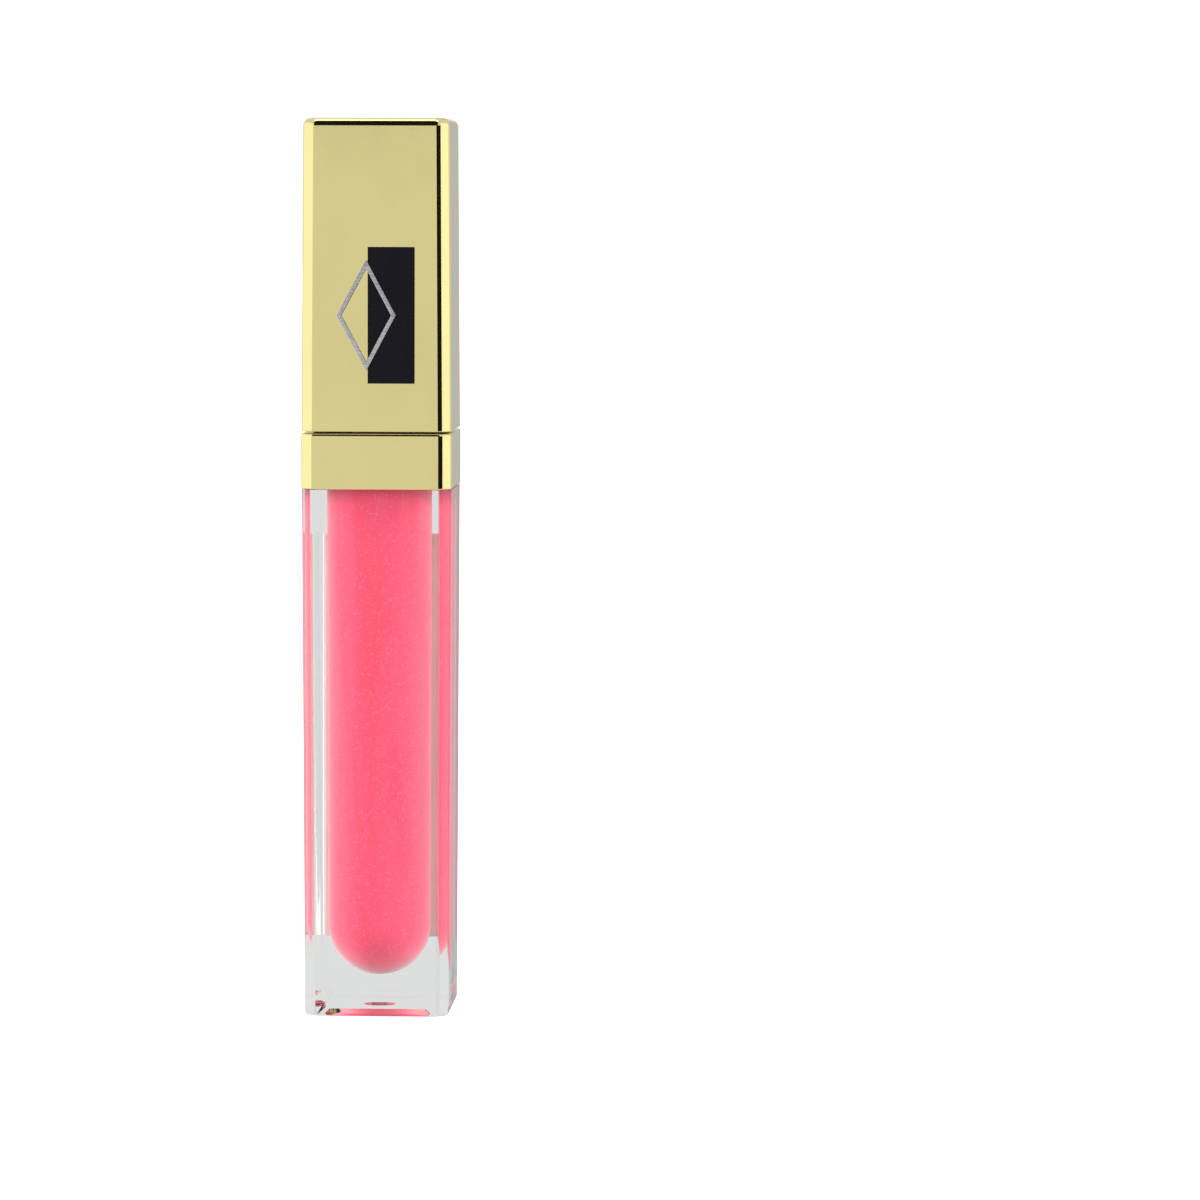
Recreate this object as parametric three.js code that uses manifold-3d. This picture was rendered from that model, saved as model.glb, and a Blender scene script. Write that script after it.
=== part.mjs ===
// A square lip gloss tube: a thick clear bottle with a mirror on its back, a gold collar, and a tall
// gold screw cap that carries the wand and a small lamp with its cells and switch.
// Millimetres, +Z up. The origin is the centre of the base and the front faces -Y.

import * as THREE from 'three';
import { mergeVertices } from 'three/addons/utils/BufferGeometryUtils.js';
import Module from 'manifold-3d';

const wasm = await Module();
wasm.setup();

// ---------------------------------------------------------------- driving dimensions

// Clearances
const FIT = 0.05; // seated or glued faces
const LOOSE = 0.1; // parts dropped in place
const SLIDE = 0.15; // parts that move past each other
const OVERRUN = 1; // cutters run this far past the face they cut

// Square section
const CORNER_CHAMFER = 1.2; // leg of the flat cut along each upright corner
const CORNER_SOFTENING = 0.3; // reach of the rounding at each edge of that cut

// Bottle body
const BODY_TOP_WIDTH = 17.2;
const BODY_BASE_WIDTH = 16.7;
const BODY_HEIGHT = 60.9;
const BASE_BEVEL_INSET = 0.5;
const BASE_BEVEL_HEIGHT = 0.5;
const SHOULDER_HEIGHT = 5.4; // square shoulder that the collar covers

// Bottle bore and gloss
const BORE_TOP_DIAMETER = 12.1;
const BORE_BASE_DIAMETER = 11.85;
const BASE_THICKNESS = 4.3;
const BORE_ABOVE_BODY = 1.7; // the wide bore runs this far up into the shoulder
const FILL_BELOW_CONE = 0.6;

// Wand
const STEM_DIAMETER = 3.5;
const TIP_DIAMETER = 4;
const TIP_LENGTH = 12.5;
const TIP_ABOVE_BORE_BOTTOM = 5.7;
const TIP_SLANT_DEG = 17;
const TIP_CUT_DEPTH = 1.9; // how far the slanted face bites in at the tip's end
const TIP_ROOT_TAPER = 1.5; // length over which the tip narrows to the stem
const STEM_SPIGOT_DIAMETER = 1.9;
const STEM_SPIGOT_LENGTH = 3;
const CHANNEL_CLEARANCE = 0.35; // gloss stands clear of the passing tip

// Wiper and neck
const ORIFICE_CLEARANCE = 0.25;
const WIPER_LIP_REACH = 0.7;
const WIPER_LIP_HEIGHT = 2.4;
const WIPER_WALL = 0.6;
const WIPER_LENGTH = 12.4;
const WIPER_FLANGE_THICKNESS = 0.6;
const WIPER_FLANGE_REACH = 1.05;
const NECK_WALL = 1.3;
const NECK_HEIGHT = 12.1; // above the shoulder
const SEAL_THICKNESS = 0.7;

// Thread
const THREAD_LEAD = 2.1;
const THREAD_DEPTH = 0.75;
const THREAD_ROOT_WIDTH = 1.05;
const THREAD_CREST_WIDTH = 0.45;
const THREAD_CLEARANCE = 0.25;
const NECK_THREAD_TURNS = 1.1;
const CAP_THREAD_TURNS = 0.75;
const CAP_THREAD_LATE_TURNS = 0.2; // the cap's ridge starts this far along the neck's
const THREAD_START_ABOVE_SHOULDER = 5.6;
const RIDGE_SINK = 0.3; // a ridge's root is sunk this far in its wall

// Collar
const COLLAR_HEIGHT = 6.5;
const COLLAR_PROUD = 0.075; // each side, beyond the bottle's top
const COLLAR_WALL = 0.72;
const COLLAR_ROOF = 1;
const COLLAR_TOP_EDGE = 0.35;
const COLLAR_BOTTOM_EDGE = 0.15;

// Cap shell
const CAP_GAP = 0.15;
const CAP_HEIGHT = 35.85;
const CAP_BASE_PROUD = 0.025; // each side, beyond the bottle's top
const CAP_TOP_TAPER = 0.225; // each side, narrower at the top
const CAP_WALL = 1;
const CAP_TOP_EDGE = 0.9;
const CAP_RIM_EDGE = 0.15;

// Plaque and motif on the cap's front
const PLAQUE_WIDTH = 5.4;
const PLAQUE_HEIGHT = 15.7;
const PLAQUE_THICKNESS = 0.35;
const PLAQUE_RIGHT_OF_CENTRE = 1.8;
const PLAQUE_BELOW_CAP_TOP = 22.5; // to the plaque's centre
const MOTIF_WIDTH = 6.8;
const MOTIF_HEIGHT = 12.7;
const MOTIF_LINE = 0.5;
const MOTIF_THICKNESS = 0.12;
const MOTIF_LEFT_OF_CENTRE = 1.05;

// Mirror on the bottle's back
const MIRROR_WIDTH = 14.2;
const MIRROR_HEIGHT = 47.4;
const MIRROR_THICKNESS = 0.8;
const MIRROR_BOTTOM = 7.9;
const ADHESIVE_THICKNESS = 0.1;
const ADHESIVE_INSET = 0.3;

// Inner cap
const CLOSURE_WALL = 1.1;
const CLOSURE_RIM_GAP = 0.45; // above the collar
const MOUNT_PLATE_THICKNESS = 1.5;
const STEM_FLANGE_REACH = 0.65;

// Lamp
const LAMP_DIAMETER = 2.4;
const LED_HEIGHT = 1;
const LAMP_ABOVE_RIM = 0.45;
const BOARD_THICKNESS = 0.8;
const RESISTOR_LENGTH = 1.6;
const RESISTOR_WIDTH = 0.8;
const RESISTOR_HEIGHT = 0.5;

// Switch
const PIN_DIAMETER = 1.2;
const PIN_ABOVE_COLLAR = 0.1;
const PIN_SPIGOT_DIAMETER = 0.9;
const PIN_SPIGOT_LENGTH = 1.2;
const DISC_DIAMETER = 2.6;
const DISC_THICKNESS = 0.4;
const PAD_THICKNESS = 0.1;
const PLUNGER_SPRING_LENGTH = 3.8;
const PLUNGER_SPRING_WIRE = 0.28;
const PLUNGER_SPRING_TURNS = 5;

// Cells and their holder
const CELL_DIAMETER = 7.9;
const CELL_HEIGHT = 3.6;
const CELL_COUNT = 3;
const CELL_BUTTON_DIAMETER = 6.2;
const CELL_BUTTON_HEIGHT = 0.2;
const BATTERY_SPRING_HEIGHT = 1.3;
const BATTERY_SPRING_WIRE = 0.36;
const BATTERY_SPRING_TURNS = 2.5;
const HOLDER_WALL = 0.9;
const HOLDER_FLANGE_THICKNESS = 1;
const HOLDER_WINDOW_WIDTH = 4.4;
const LID_THICKNESS = 0.9;
const CONTACT_THICKNESS = 0.25;
const CONTACT_WIDTH = 2;

// Facets round a full turn
const BORE_FACETS = 48;
const ROUND_FACETS = 32;
const SMALL_FACETS = 16;

// ---------------------------------------------------------------- worked out from them

const bodyTopHalf = BODY_TOP_WIDTH / 2;
const bodyBaseHalf = BODY_BASE_WIDTH / 2;
const collarHalf = bodyTopHalf + COLLAR_PROUD;
const collarTop = BODY_HEIGHT + COLLAR_HEIGHT;
const shoulderTop = BODY_HEIGHT + SHOULDER_HEIGHT;
const neckTop = shoulderTop + NECK_HEIGHT;

const boreBottom = BASE_THICKNESS;
const boreBaseRadius = BORE_BASE_DIAMETER / 2;
const boreTopRadius = BORE_TOP_DIAMETER / 2;
const coneBottom = BODY_HEIGHT + BORE_ABOVE_BODY;
const fillTop = coneBottom - FILL_BELOW_CONE;

const stemRadius = STEM_DIAMETER / 2;
const tipRadius = TIP_DIAMETER / 2;
const tipBottom = boreBottom + TIP_ABOVE_BORE_BOTTOM;
const tipTop = tipBottom + TIP_LENGTH;

const orificeRadius = tipRadius + ORIFICE_CLEARANCE;
const wiperInnerRadius = orificeRadius + WIPER_LIP_REACH;
const wiperOuterRadius = wiperInnerRadius + WIPER_WALL;
const neckBoreRadius = wiperOuterRadius + FIT;
const neckRadius = neckBoreRadius + NECK_WALL;
const coneTop = coneBottom + boreTopRadius - neckBoreRadius;
const threadCrestRadius = neckRadius + THREAD_DEPTH;
const closureBoreRadius = threadCrestRadius + THREAD_CLEARANCE;
const closureRadius = closureBoreRadius + CLOSURE_WALL;
const threadStart = shoulderTop + THREAD_START_ABOVE_SHOULDER;

const wiperFlangeBottom = neckTop + FIT;
const wiperFlangeTop = wiperFlangeBottom + WIPER_FLANGE_THICKNESS;
const sealBottom = wiperFlangeTop + FIT;
const sealTop = sealBottom + SEAL_THICKNESS;
const closureCeiling = sealTop + FIT;
const plateTop = closureCeiling + MOUNT_PLATE_THICKNESS;

const capBottom = collarTop + CAP_GAP;
const capTop = capBottom + CAP_HEIGHT;
const capBaseHalf = bodyTopHalf + CAP_BASE_PROUD;
const capTopHalf = capBaseHalf - CAP_TOP_TAPER;
const capOuterHalf = (z) => THREE.MathUtils.mapLinear(z, capBottom, capTop, capBaseHalf, capTopHalf);
const capInnerHalf = (z) => capOuterHalf(z) - CAP_WALL;
const innerChamfer = CORNER_CHAMFER - CAP_WALL * (2 - Math.SQRT2);
const bodyHalf = (z) => THREE.MathUtils.mapLinear(z, 0, BODY_HEIGHT, bodyBaseHalf, bodyTopHalf);

const boardBottom = plateTop + LOOSE;
const boardTop = boardBottom + BOARD_THICKNESS;
const padTop = boardTop + PAD_THICKNESS;
const discBottom = padTop + THREAD_LEAD + LOOSE;
const discTop = discBottom + DISC_THICKNESS;
const plungerSpringBottom = discTop + LOOSE;
const holderFlangeBottom = plungerSpringBottom + PLUNGER_SPRING_LENGTH + LOOSE;

const cellRadius = CELL_DIAMETER / 2;
const cellsBottom = boardTop + LOOSE + BATTERY_SPRING_HEIGHT + LOOSE;
const cellPitch = CELL_HEIGHT + FIT;
const cellsTop = cellsBottom + CELL_COUNT * cellPitch;
const holderInnerRadius = cellRadius + SLIDE;
const holderRadius = holderInnerRadius + HOLDER_WALL;
const contactTop = cellsTop + CONTACT_THICKNESS;
const lidBottom = contactTop + FIT;

// The lamp and the switch stand in two opposite corners, midway between the round closure and the shell.
const lampRadius = LAMP_DIAMETER / 2;
const cornerReach = Math.max(LAMP_DIAMETER, DISC_DIAMETER) / 2;
const cornerNear = (closureRadius + cornerReach) / Math.SQRT2;
const cornerFar = capInnerHalf(holderFlangeBottom) - cornerReach;
const cornerOffset = (cornerNear + cornerFar) / 2;
const LAMP_PLACE = { x: cornerOffset, y: cornerOffset };
const SWITCH_PLACE = { x: -cornerOffset, y: cornerOffset };

// ---------------------------------------------------------------- geometry helpers

/** Joins the shared vertices of a closed geometry and drops the triangles that collapse on its axis. */
function weld(geometry) {
  geometry.deleteAttribute('normal');
  geometry.deleteAttribute('uv');
  const merged = mergeVertices(geometry, 1e-5);
  const kept = [];
  for (let i = 0; i < merged.index.count; i += 3) {
    const [a, b, c] = merged.index.array.slice(i, i + 3);
    if (a !== b && b !== c && c !== a) {
      kept.push(a, b, c);
    }
  }
  merged.setIndex(kept);
  return merged;
}

/** A solid that can be joined and cut. */
function solid(geometry) {
  const closed = weld(geometry);
  const vertProperties = Float32Array.from(closed.attributes.position.array);
  const triVerts = Uint32Array.from(closed.index.array);
  return new wasm.Manifold(new wasm.Mesh({ numProp: 3, vertProperties, triVerts }));
}

function geometryOf(body) {
  const { vertProperties, triVerts } = body.getMesh();
  const geometry = new THREE.BufferGeometry();
  geometry.setAttribute('position', new THREE.BufferAttribute(vertProperties, 3));
  geometry.setIndex(new THREE.BufferAttribute(triVerts, 1));
  geometry.computeVertexNormals();
  return geometry;
}

/** Points [radius, z] along an arc, angles in degrees. */
function arc(centreR, centreZ, radius, fromDeg, toDeg, steps) {
  return Array.from({ length: steps + 1 }, (_, i) => {
    const angle = THREE.MathUtils.degToRad(THREE.MathUtils.lerp(fromDeg, toDeg, i / steps));
    return [centreR + radius * Math.cos(angle), centreZ + radius * Math.sin(angle)];
  });
}

/** A turned solid about Z. The profile's [radius, z] points run up its outside. */
function turned(profile, facets = ROUND_FACETS) {
  const points = profile.map(([r, z]) => new THREE.Vector2(r, z));
  return solid(new THREE.LatheGeometry(points, facets).rotateX(Math.PI / 2));
}

/** A turned ring: the profile is closed on itself, and runs up its outside first. */
function ring(profile, facets = ROUND_FACETS) {
  return turned([...profile, profile[0]], facets);
}

function rod(radius, bottom, top, facets = ROUND_FACETS) {
  return turned([[0, bottom], [radius, bottom], [radius, top], [0, top]], facets);
}

function tube(outer, inner, bottom, top, facets = ROUND_FACETS) {
  return ring([[outer, bottom], [outer, top], [inner, top], [inner, bottom]], facets);
}

function box(width, depth, height, x, y, z) {
  return solid(new THREE.BoxGeometry(width, depth, height).translate(x, y, z));
}

/** A square outline with flat-cut corners, whose eight edges are softened. */
function squareOutline(half, chamfer) {
  const flat = half - chamfer;
  const corners = [
    [flat, -half], [half, -flat], [half, flat], [flat, half],
    [-flat, half], [-half, flat], [-half, -flat], [-flat, -half],
  ].map(([x, y]) => new THREE.Vector2(x, y));
  const towards = (from, to) => from.clone().lerp(to, CORNER_SOFTENING / from.distanceTo(to));
  const shape = new THREE.Shape();
  corners.forEach((corner, i) => {
    const start = towards(corner, corners[(i + 7) % 8]);
    const end = towards(corner, corners[(i + 1) % 8]);
    if (i === 0) {
      shape.moveTo(start.x, start.y);
    } else {
      shape.lineTo(start.x, start.y);
    }
    shape.quadraticCurveTo(corner.x, corner.y, end.x, end.y);
  });
  shape.closePath();
  return shape;
}

/** An upright square solid through the given levels, each [z, half width]. */
function square(levels, chamfer = CORNER_CHAMFER) {
  const widest = Math.max(...levels.map(([, half]) => half));
  const steps = levels.length - 1;
  const options = { depth: steps, steps, bevelEnabled: false, curveSegments: 2 };
  const geometry = new THREE.ExtrudeGeometry(squareOutline(widest, chamfer), options);
  const position = geometry.attributes.position;
  for (let i = 0; i < position.count; i += 1) {
    const [z, half] = levels[Math.round(position.getZ(i))];
    const scale = half / widest;
    position.setXYZ(i, position.getX(i) * scale, position.getY(i) * scale, z);
  }
  return solid(geometry);
}

/** Levels [z, half width] round the lower outer edge of a square solid. */
function lowerEdge(z, half, radius, steps = 3) {
  return arc(half - radius, z + radius, radius, -90, 0, steps).map(([reach, level]) => [level, reach]);
}

/** Levels [z, half width] round the upper outer edge of a square solid. */
function upperEdge(z, half, radius, steps = 3) {
  return arc(half - radius, z - radius, radius, 0, 90, steps).map(([reach, level]) => [level, reach]);
}

/** A section, drawn as [radius, height], swept up a right-hand helix. */
function helix(section, { lead, turns, startZ, startDeg = 0, radiusChange = 0, stepsPerTurn = 36 }) {
  const steps = Math.round(turns * stepsPerTurn);
  const options = { depth: turns, steps, bevelEnabled: false, curveSegments: 3 };
  const geometry = new THREE.ExtrudeGeometry(section, options);
  const position = geometry.attributes.position;
  for (let i = 0; i < position.count; i += 1) {
    const along = turns - position.getZ(i);
    const angle = THREE.MathUtils.degToRad(startDeg) + 2 * Math.PI * along;
    const radius = position.getX(i) + radiusChange * (along / turns);
    const z = startZ + lead * along + position.getY(i);
    position.setXYZ(i, radius * Math.cos(angle), radius * Math.sin(angle), z);
  }
  return solid(geometry);
}

/** A thread ridge's section, from its root, sunk in the wall that carries it, to its crest. */
function ridgeSection(wallRadius, crestRadius) {
  const root = wallRadius + RIDGE_SINK * Math.sign(wallRadius - crestRadius);
  const shape = new THREE.Shape();
  shape.moveTo(root, -THREAD_ROOT_WIDTH / 2);
  shape.lineTo(crestRadius, -THREAD_CREST_WIDTH / 2);
  shape.lineTo(crestRadius, THREAD_CREST_WIDTH / 2);
  shape.lineTo(root, THREAD_ROOT_WIDTH / 2);
  shape.closePath();
  return shape;
}

/** A round wire's section, its centre at the coil's radius. */
function wireSection(coilRadius, wireDiameter) {
  const shape = new THREE.Shape();
  shape.absarc(coilRadius, 0, wireDiameter / 2, 0, 2 * Math.PI, false);
  return shape;
}

/** A named mesh with a material of its own. */
function part(name, body, color, roughness, metalness, opacity = 1) {
  const material = new THREE.MeshStandardMaterial({
    color,
    roughness,
    metalness,
    opacity,
    transparent: opacity < 1,
  });
  const mesh = new THREE.Mesh(geometryOf(body), material);
  mesh.name = name;
  return mesh;
}

/** A group on a drafted upright face: its X runs along the face, Y up it and Z out of it. */
function faceFrame(halfWidth, z, lean, turnDeg = 0) {
  const face = new THREE.Group();
  face.rotation.set(Math.PI / 2 - lean, 0, 0);
  face.position.set(0, -halfWidth, z);
  const turn = new THREE.Group();
  turn.rotation.z = THREE.MathUtils.degToRad(turnDeg);
  turn.add(face);
  turn.updateMatrixWorld(true);
  return { turn, face };
}

const at = (mesh, { x, y }) => {
  mesh.position.set(x, y, 0);
  return mesh;
};

// ---------------------------------------------------------------- bottle

/** The bore's outline, shrunk by an inset, up to a given height. */
function boreProfile(inset, top) {
  const bottomArc = arc(0, boreBottom + boreBaseRadius, boreBaseRadius - inset, -90, 0, 8);
  return [[0, boreBottom + inset], ...bottomArc.slice(1), ...top];
}

function makeBottle() {
  const outside = square([
    [0, bodyBaseHalf - BASE_BEVEL_INSET],
    [BASE_BEVEL_HEIGHT, bodyBaseHalf],
    [BODY_HEIGHT, bodyTopHalf],
    [BODY_HEIGHT, collarHalf - COLLAR_WALL - LOOSE],
    [shoulderTop, collarHalf - COLLAR_WALL - LOOSE],
  ]);
  const neck = rod(neckRadius, shoulderTop - OVERRUN, neckTop, BORE_FACETS);
  const ridge = helix(ridgeSection(neckRadius, threadCrestRadius), {
    lead: THREAD_LEAD,
    turns: NECK_THREAD_TURNS,
    startZ: threadStart,
  });
  const bore = turned(boreProfile(0, [
    [boreTopRadius, coneBottom],
    [neckBoreRadius, coneTop],
    [neckBoreRadius, neckTop + OVERRUN],
    [0, neckTop + OVERRUN],
  ]), BORE_FACETS);
  return outside.add(neck).add(ridge).subtract(bore);
}

function makeGlossFill() {
  const pool = turned(boreProfile(FIT, [[boreTopRadius - FIT, fillTop], [0, fillTop]]), BORE_FACETS);
  const channelRadius = tipRadius + CHANNEL_CLEARANCE;
  const channelBottom = tipBottom - CHANNEL_CLEARANCE;
  const channel = turned([
    [0, channelBottom],
    ...arc(0, channelBottom + channelRadius, channelRadius, -90, 0, 4).slice(1),
    [channelRadius, fillTop + OVERRUN],
    [0, fillTop + OVERRUN],
  ]);
  return pool.subtract(channel);
}

function makeCollar() {
  const bottom = BODY_HEIGHT + FIT;
  const band = square([
    ...lowerEdge(bottom, collarHalf, COLLAR_BOTTOM_EDGE, 2),
    ...upperEdge(collarTop, collarHalf, COLLAR_TOP_EDGE),
  ]);
  const pocketHalf = collarHalf - COLLAR_WALL;
  const pocket = square([[bottom - OVERRUN, pocketHalf], [collarTop - COLLAR_ROOF, pocketHalf]]);
  const hole = rod(threadCrestRadius + SLIDE, bottom, collarTop + OVERRUN, BORE_FACETS);
  return band.subtract(pocket).subtract(hole);
}

function makeWiper() {
  const sleeveBottom = neckTop - WIPER_LENGTH;
  const lipTop = sleeveBottom + WIPER_LIP_HEIGHT;
  const flangeRadius = wiperOuterRadius + WIPER_FLANGE_REACH;
  return ring([
    [orificeRadius, sleeveBottom],
    [orificeRadius + WIPER_WALL / 2, sleeveBottom],
    [wiperOuterRadius, lipTop],
    [wiperOuterRadius, wiperFlangeBottom],
    [flangeRadius, wiperFlangeBottom],
    [flangeRadius, wiperFlangeTop],
    [wiperInnerRadius, wiperFlangeTop],
    [wiperInnerRadius, lipTop],
    [orificeRadius, sleeveBottom + WIPER_WALL],
  ]);
}

function makeMouthSeal() {
  const outer = wiperOuterRadius + WIPER_FLANGE_REACH;
  const inner = stemRadius + STEM_FLANGE_REACH + SLIDE;
  return tube(outer, inner, sealBottom, sealTop);
}

/** The mirror and its film, in the frame of the bottle's back face. */
function makeMirror() {
  const centre = MIRROR_BOTTOM + MIRROR_HEIGHT / 2;
  const lean = -Math.atan((bodyTopHalf - bodyBaseHalf) / BODY_HEIGHT);
  const { turn, face } = faceFrame(bodyHalf(centre), centre, lean, 180);
  const filmWidth = MIRROR_WIDTH - 2 * ADHESIVE_INSET;
  const filmHeight = MIRROR_HEIGHT - 2 * ADHESIVE_INSET;
  const filmMiddle = FIT + ADHESIVE_THICKNESS / 2;
  const glassMiddle = 2 * FIT + ADHESIVE_THICKNESS + MIRROR_THICKNESS / 2;
  const film = box(filmWidth, filmHeight, ADHESIVE_THICKNESS, 0, 0, filmMiddle);
  const glass = box(MIRROR_WIDTH, MIRROR_HEIGHT, MIRROR_THICKNESS, 0, 0, glassMiddle);
  face.add(part('mirror_adhesive', film, 0xc9ccd0, 0.7, 0));
  face.add(part('mirror_panel', glass, 0xdfe5e8, 0.03, 1));
  return turn;
}

// ---------------------------------------------------------------- wand

function makeStem() {
  const spigotBottom = tipTop - STEM_SPIGOT_LENGTH;
  const flangeBottom = sealBottom;
  return turned([
    [0, spigotBottom],
    [STEM_SPIGOT_DIAMETER / 2, spigotBottom],
    [STEM_SPIGOT_DIAMETER / 2, tipTop + FIT],
    [stemRadius, tipTop + FIT],
    [stemRadius, flangeBottom],
    [stemRadius + STEM_FLANGE_REACH, flangeBottom],
    [stemRadius + STEM_FLANGE_REACH, sealTop],
    [stemRadius, sealTop],
    [stemRadius, plateTop],
    [0, plateTop],
  ]);
}

function makeApplicatorTip() {
  const outside = turned([
    [0, tipBottom],
    ...arc(0, tipBottom + tipRadius, tipRadius, -90, 0, 5).slice(1),
    [tipRadius, tipTop - TIP_ROOT_TAPER],
    [stemRadius, tipTop],
    [0, tipTop],
  ]);
  const socketBottom = tipTop - STEM_SPIGOT_LENGTH - FIT;
  const socket = rod(STEM_SPIGOT_DIAMETER / 2 + FIT, socketBottom, tipTop + OVERRUN, SMALL_FACETS);
  const slant = THREE.MathUtils.degToRad(TIP_SLANT_DEG);
  const cut = new THREE.BoxGeometry(TIP_DIAMETER * 2, TIP_DIAMETER, TIP_LENGTH * 2)
    .translate(0, -TIP_DIAMETER / 2, 0)
    .rotateX(slant)
    .translate(0, -tipRadius + TIP_CUT_DEPTH, tipBottom);
  return outside.subtract(solid(cut)).subtract(socket);
}

// ---------------------------------------------------------------- cap

const capLean = Math.atan(CAP_TOP_TAPER / CAP_HEIGHT);
const plaqueZ = capTop - PLAQUE_BELOW_CAP_TOP;

function makeCapShell(capFront) {
  const ceiling = capTop - CAP_WALL;
  const outside = square([
    ...lowerEdge(capBottom, capBaseHalf, CAP_RIM_EDGE, 2),
    ...upperEdge(capTop, capTopHalf, CAP_TOP_EDGE, 5),
  ]);
  const open = capBottom - OVERRUN;
  const inside = square([[open, capInnerHalf(open)], [ceiling, capInnerHalf(ceiling)]], innerChamfer);
  const recess = new THREE.BoxGeometry(PLAQUE_WIDTH, PLAQUE_HEIGHT, 2 * PLAQUE_THICKNESS)
    .translate(PLAQUE_RIGHT_OF_CENTRE, 0, 0)
    .applyMatrix4(capFront.matrixWorld);
  return outside.subtract(inside).subtract(solid(recess));
}

/** A black plaque sunk flush in the front, and an open lozenge laid over its edge. */
function makeFrontTrim(capFront) {
  const width = PLAQUE_WIDTH - 2 * FIT;
  const height = PLAQUE_HEIGHT - 2 * FIT;
  const thickness = PLAQUE_THICKNESS - FIT;
  const plaque = box(width, height, thickness, PLAQUE_RIGHT_OF_CENTRE, 0, -thickness / 2);
  const lozenge = (halfWidth, halfHeight) => [
    new THREE.Vector2(halfWidth, 0),
    new THREE.Vector2(0, halfHeight),
    new THREE.Vector2(-halfWidth, 0),
    new THREE.Vector2(0, -halfHeight),
  ];
  const halfWidth = MOTIF_WIDTH / 2;
  const halfHeight = MOTIF_HEIGHT / 2;
  const inset = (MOTIF_LINE * Math.hypot(halfWidth, halfHeight)) / (halfWidth * halfHeight);
  const outline = new THREE.Shape(lozenge(halfWidth, halfHeight));
  outline.holes.push(new THREE.Path(lozenge(halfWidth * (1 - inset), halfHeight * (1 - inset))));
  const motif = new THREE.ExtrudeGeometry(outline, { depth: MOTIF_THICKNESS, bevelEnabled: false })
    .translate(-MOTIF_LEFT_OF_CENTRE, 0, FIT);
  capFront.add(part('front_panel', plaque, 0x17171f, 0.25, 0));
  capFront.add(part('silver_motif', solid(motif), 0xc8c5cd, 0.3, 1));
}

function cornerHole(place, radius, bottom, top) {
  return rod(radius, bottom, top, SMALL_FACETS).translate(place.x, place.y, 0);
}

function makeInnerCap() {
  const rim = collarTop + CLOSURE_RIM_GAP;
  const plateBottom = closureCeiling;
  const plateHalf = capInnerHalf(plateTop) - LOOSE;
  const barrel = rod(closureRadius, rim, plateTop - FIT, BORE_FACETS);
  const plate = square([[plateBottom, plateHalf], [plateTop, plateHalf]], innerChamfer);
  const bore = rod(closureBoreRadius, rim - OVERRUN, closureCeiling, BORE_FACETS);
  const ridge = helix(ridgeSection(closureBoreRadius, neckRadius + THREAD_CLEARANCE), {
    lead: THREAD_LEAD,
    turns: CAP_THREAD_TURNS,
    startZ: threadStart + THREAD_LEAD * (CAP_THREAD_LATE_TURNS - 1 / 2),
    startDeg: 360 * CAP_THREAD_LATE_TURNS,
  });
  const stemHole = rod(stemRadius + FIT, rim, plateTop + OVERRUN);
  return barrel
    .add(plate)
    .subtract(bore)
    .add(ridge)
    .subtract(stemHole)
    .subtract(cornerHole(LAMP_PLACE, lampRadius + FIT, rim, plateTop + OVERRUN))
    .subtract(cornerHole(SWITCH_PLACE, PIN_DIAMETER / 2 + SLIDE, rim, plateTop + OVERRUN));
}

// ---------------------------------------------------------------- lamp and switch

const guideTop = plateTop - LED_HEIGHT;

function makeCircuitBoard() {
  const half = capInnerHalf(boardTop) - SLIDE;
  const board = square([[boardBottom, half], [boardTop, half]], innerChamfer);
  const holeRadius = PIN_DIAMETER / 2 + SLIDE;
  return board.subtract(cornerHole(SWITCH_PLACE, holeRadius, boardBottom - OVERRUN, boardTop + OVERRUN));
}

function makePlungerPin() {
  const bottom = collarTop + PIN_ABOVE_COLLAR;
  const radius = PIN_DIAMETER / 2;
  return turned([
    [0, bottom],
    [radius / 2, bottom],
    [radius, bottom + radius / 2],
    [radius, discBottom - FIT],
    [PIN_SPIGOT_DIAMETER / 2, discBottom - FIT],
    [PIN_SPIGOT_DIAMETER / 2, discTop + PIN_SPIGOT_LENGTH],
    [0, discTop + PIN_SPIGOT_LENGTH],
  ], SMALL_FACETS);
}

function makePlungerSpring() {
  const wire = PLUNGER_SPRING_WIRE;
  const coilRadius = PIN_SPIGOT_DIAMETER / 2 + SLIDE + wire / 2;
  return helix(wireSection(coilRadius, wire), {
    lead: (PLUNGER_SPRING_LENGTH - wire) / PLUNGER_SPRING_TURNS,
    turns: PLUNGER_SPRING_TURNS,
    startZ: plungerSpringBottom + wire / 2,
    stepsPerTurn: 10,
  });
}

function makeBatterySpring() {
  const wire = BATTERY_SPRING_WIRE;
  const baseRadius = holderInnerRadius - SLIDE - wire;
  return helix(wireSection(baseRadius, wire), {
    lead: (BATTERY_SPRING_HEIGHT - wire) / BATTERY_SPRING_TURNS,
    turns: BATTERY_SPRING_TURNS,
    startZ: boardTop + LOOSE + wire / 2,
    radiusChange: -baseRadius / 2,
    stepsPerTurn: 16,
  });
}

/** A button cell: its can stands up, and the smaller button faces down. */
function makeCell(index) {
  const bottom = cellsBottom + index * cellPitch;
  const top = bottom + CELL_HEIGHT;
  const button = CELL_BUTTON_DIAMETER / 2;
  const shoulder = cellRadius - CELL_BUTTON_HEIGHT;
  return turned([
    [0, bottom],
    [button, bottom],
    [button, bottom + CELL_BUTTON_HEIGHT],
    [shoulder, bottom + CELL_BUTTON_HEIGHT],
    [cellRadius, bottom + 2 * CELL_BUTTON_HEIGHT],
    [cellRadius, top - CELL_BUTTON_HEIGHT],
    [shoulder, top],
    [0, top],
  ]);
}

const stripX = holderRadius + LOOSE + CONTACT_THICKNESS / 2;

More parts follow.
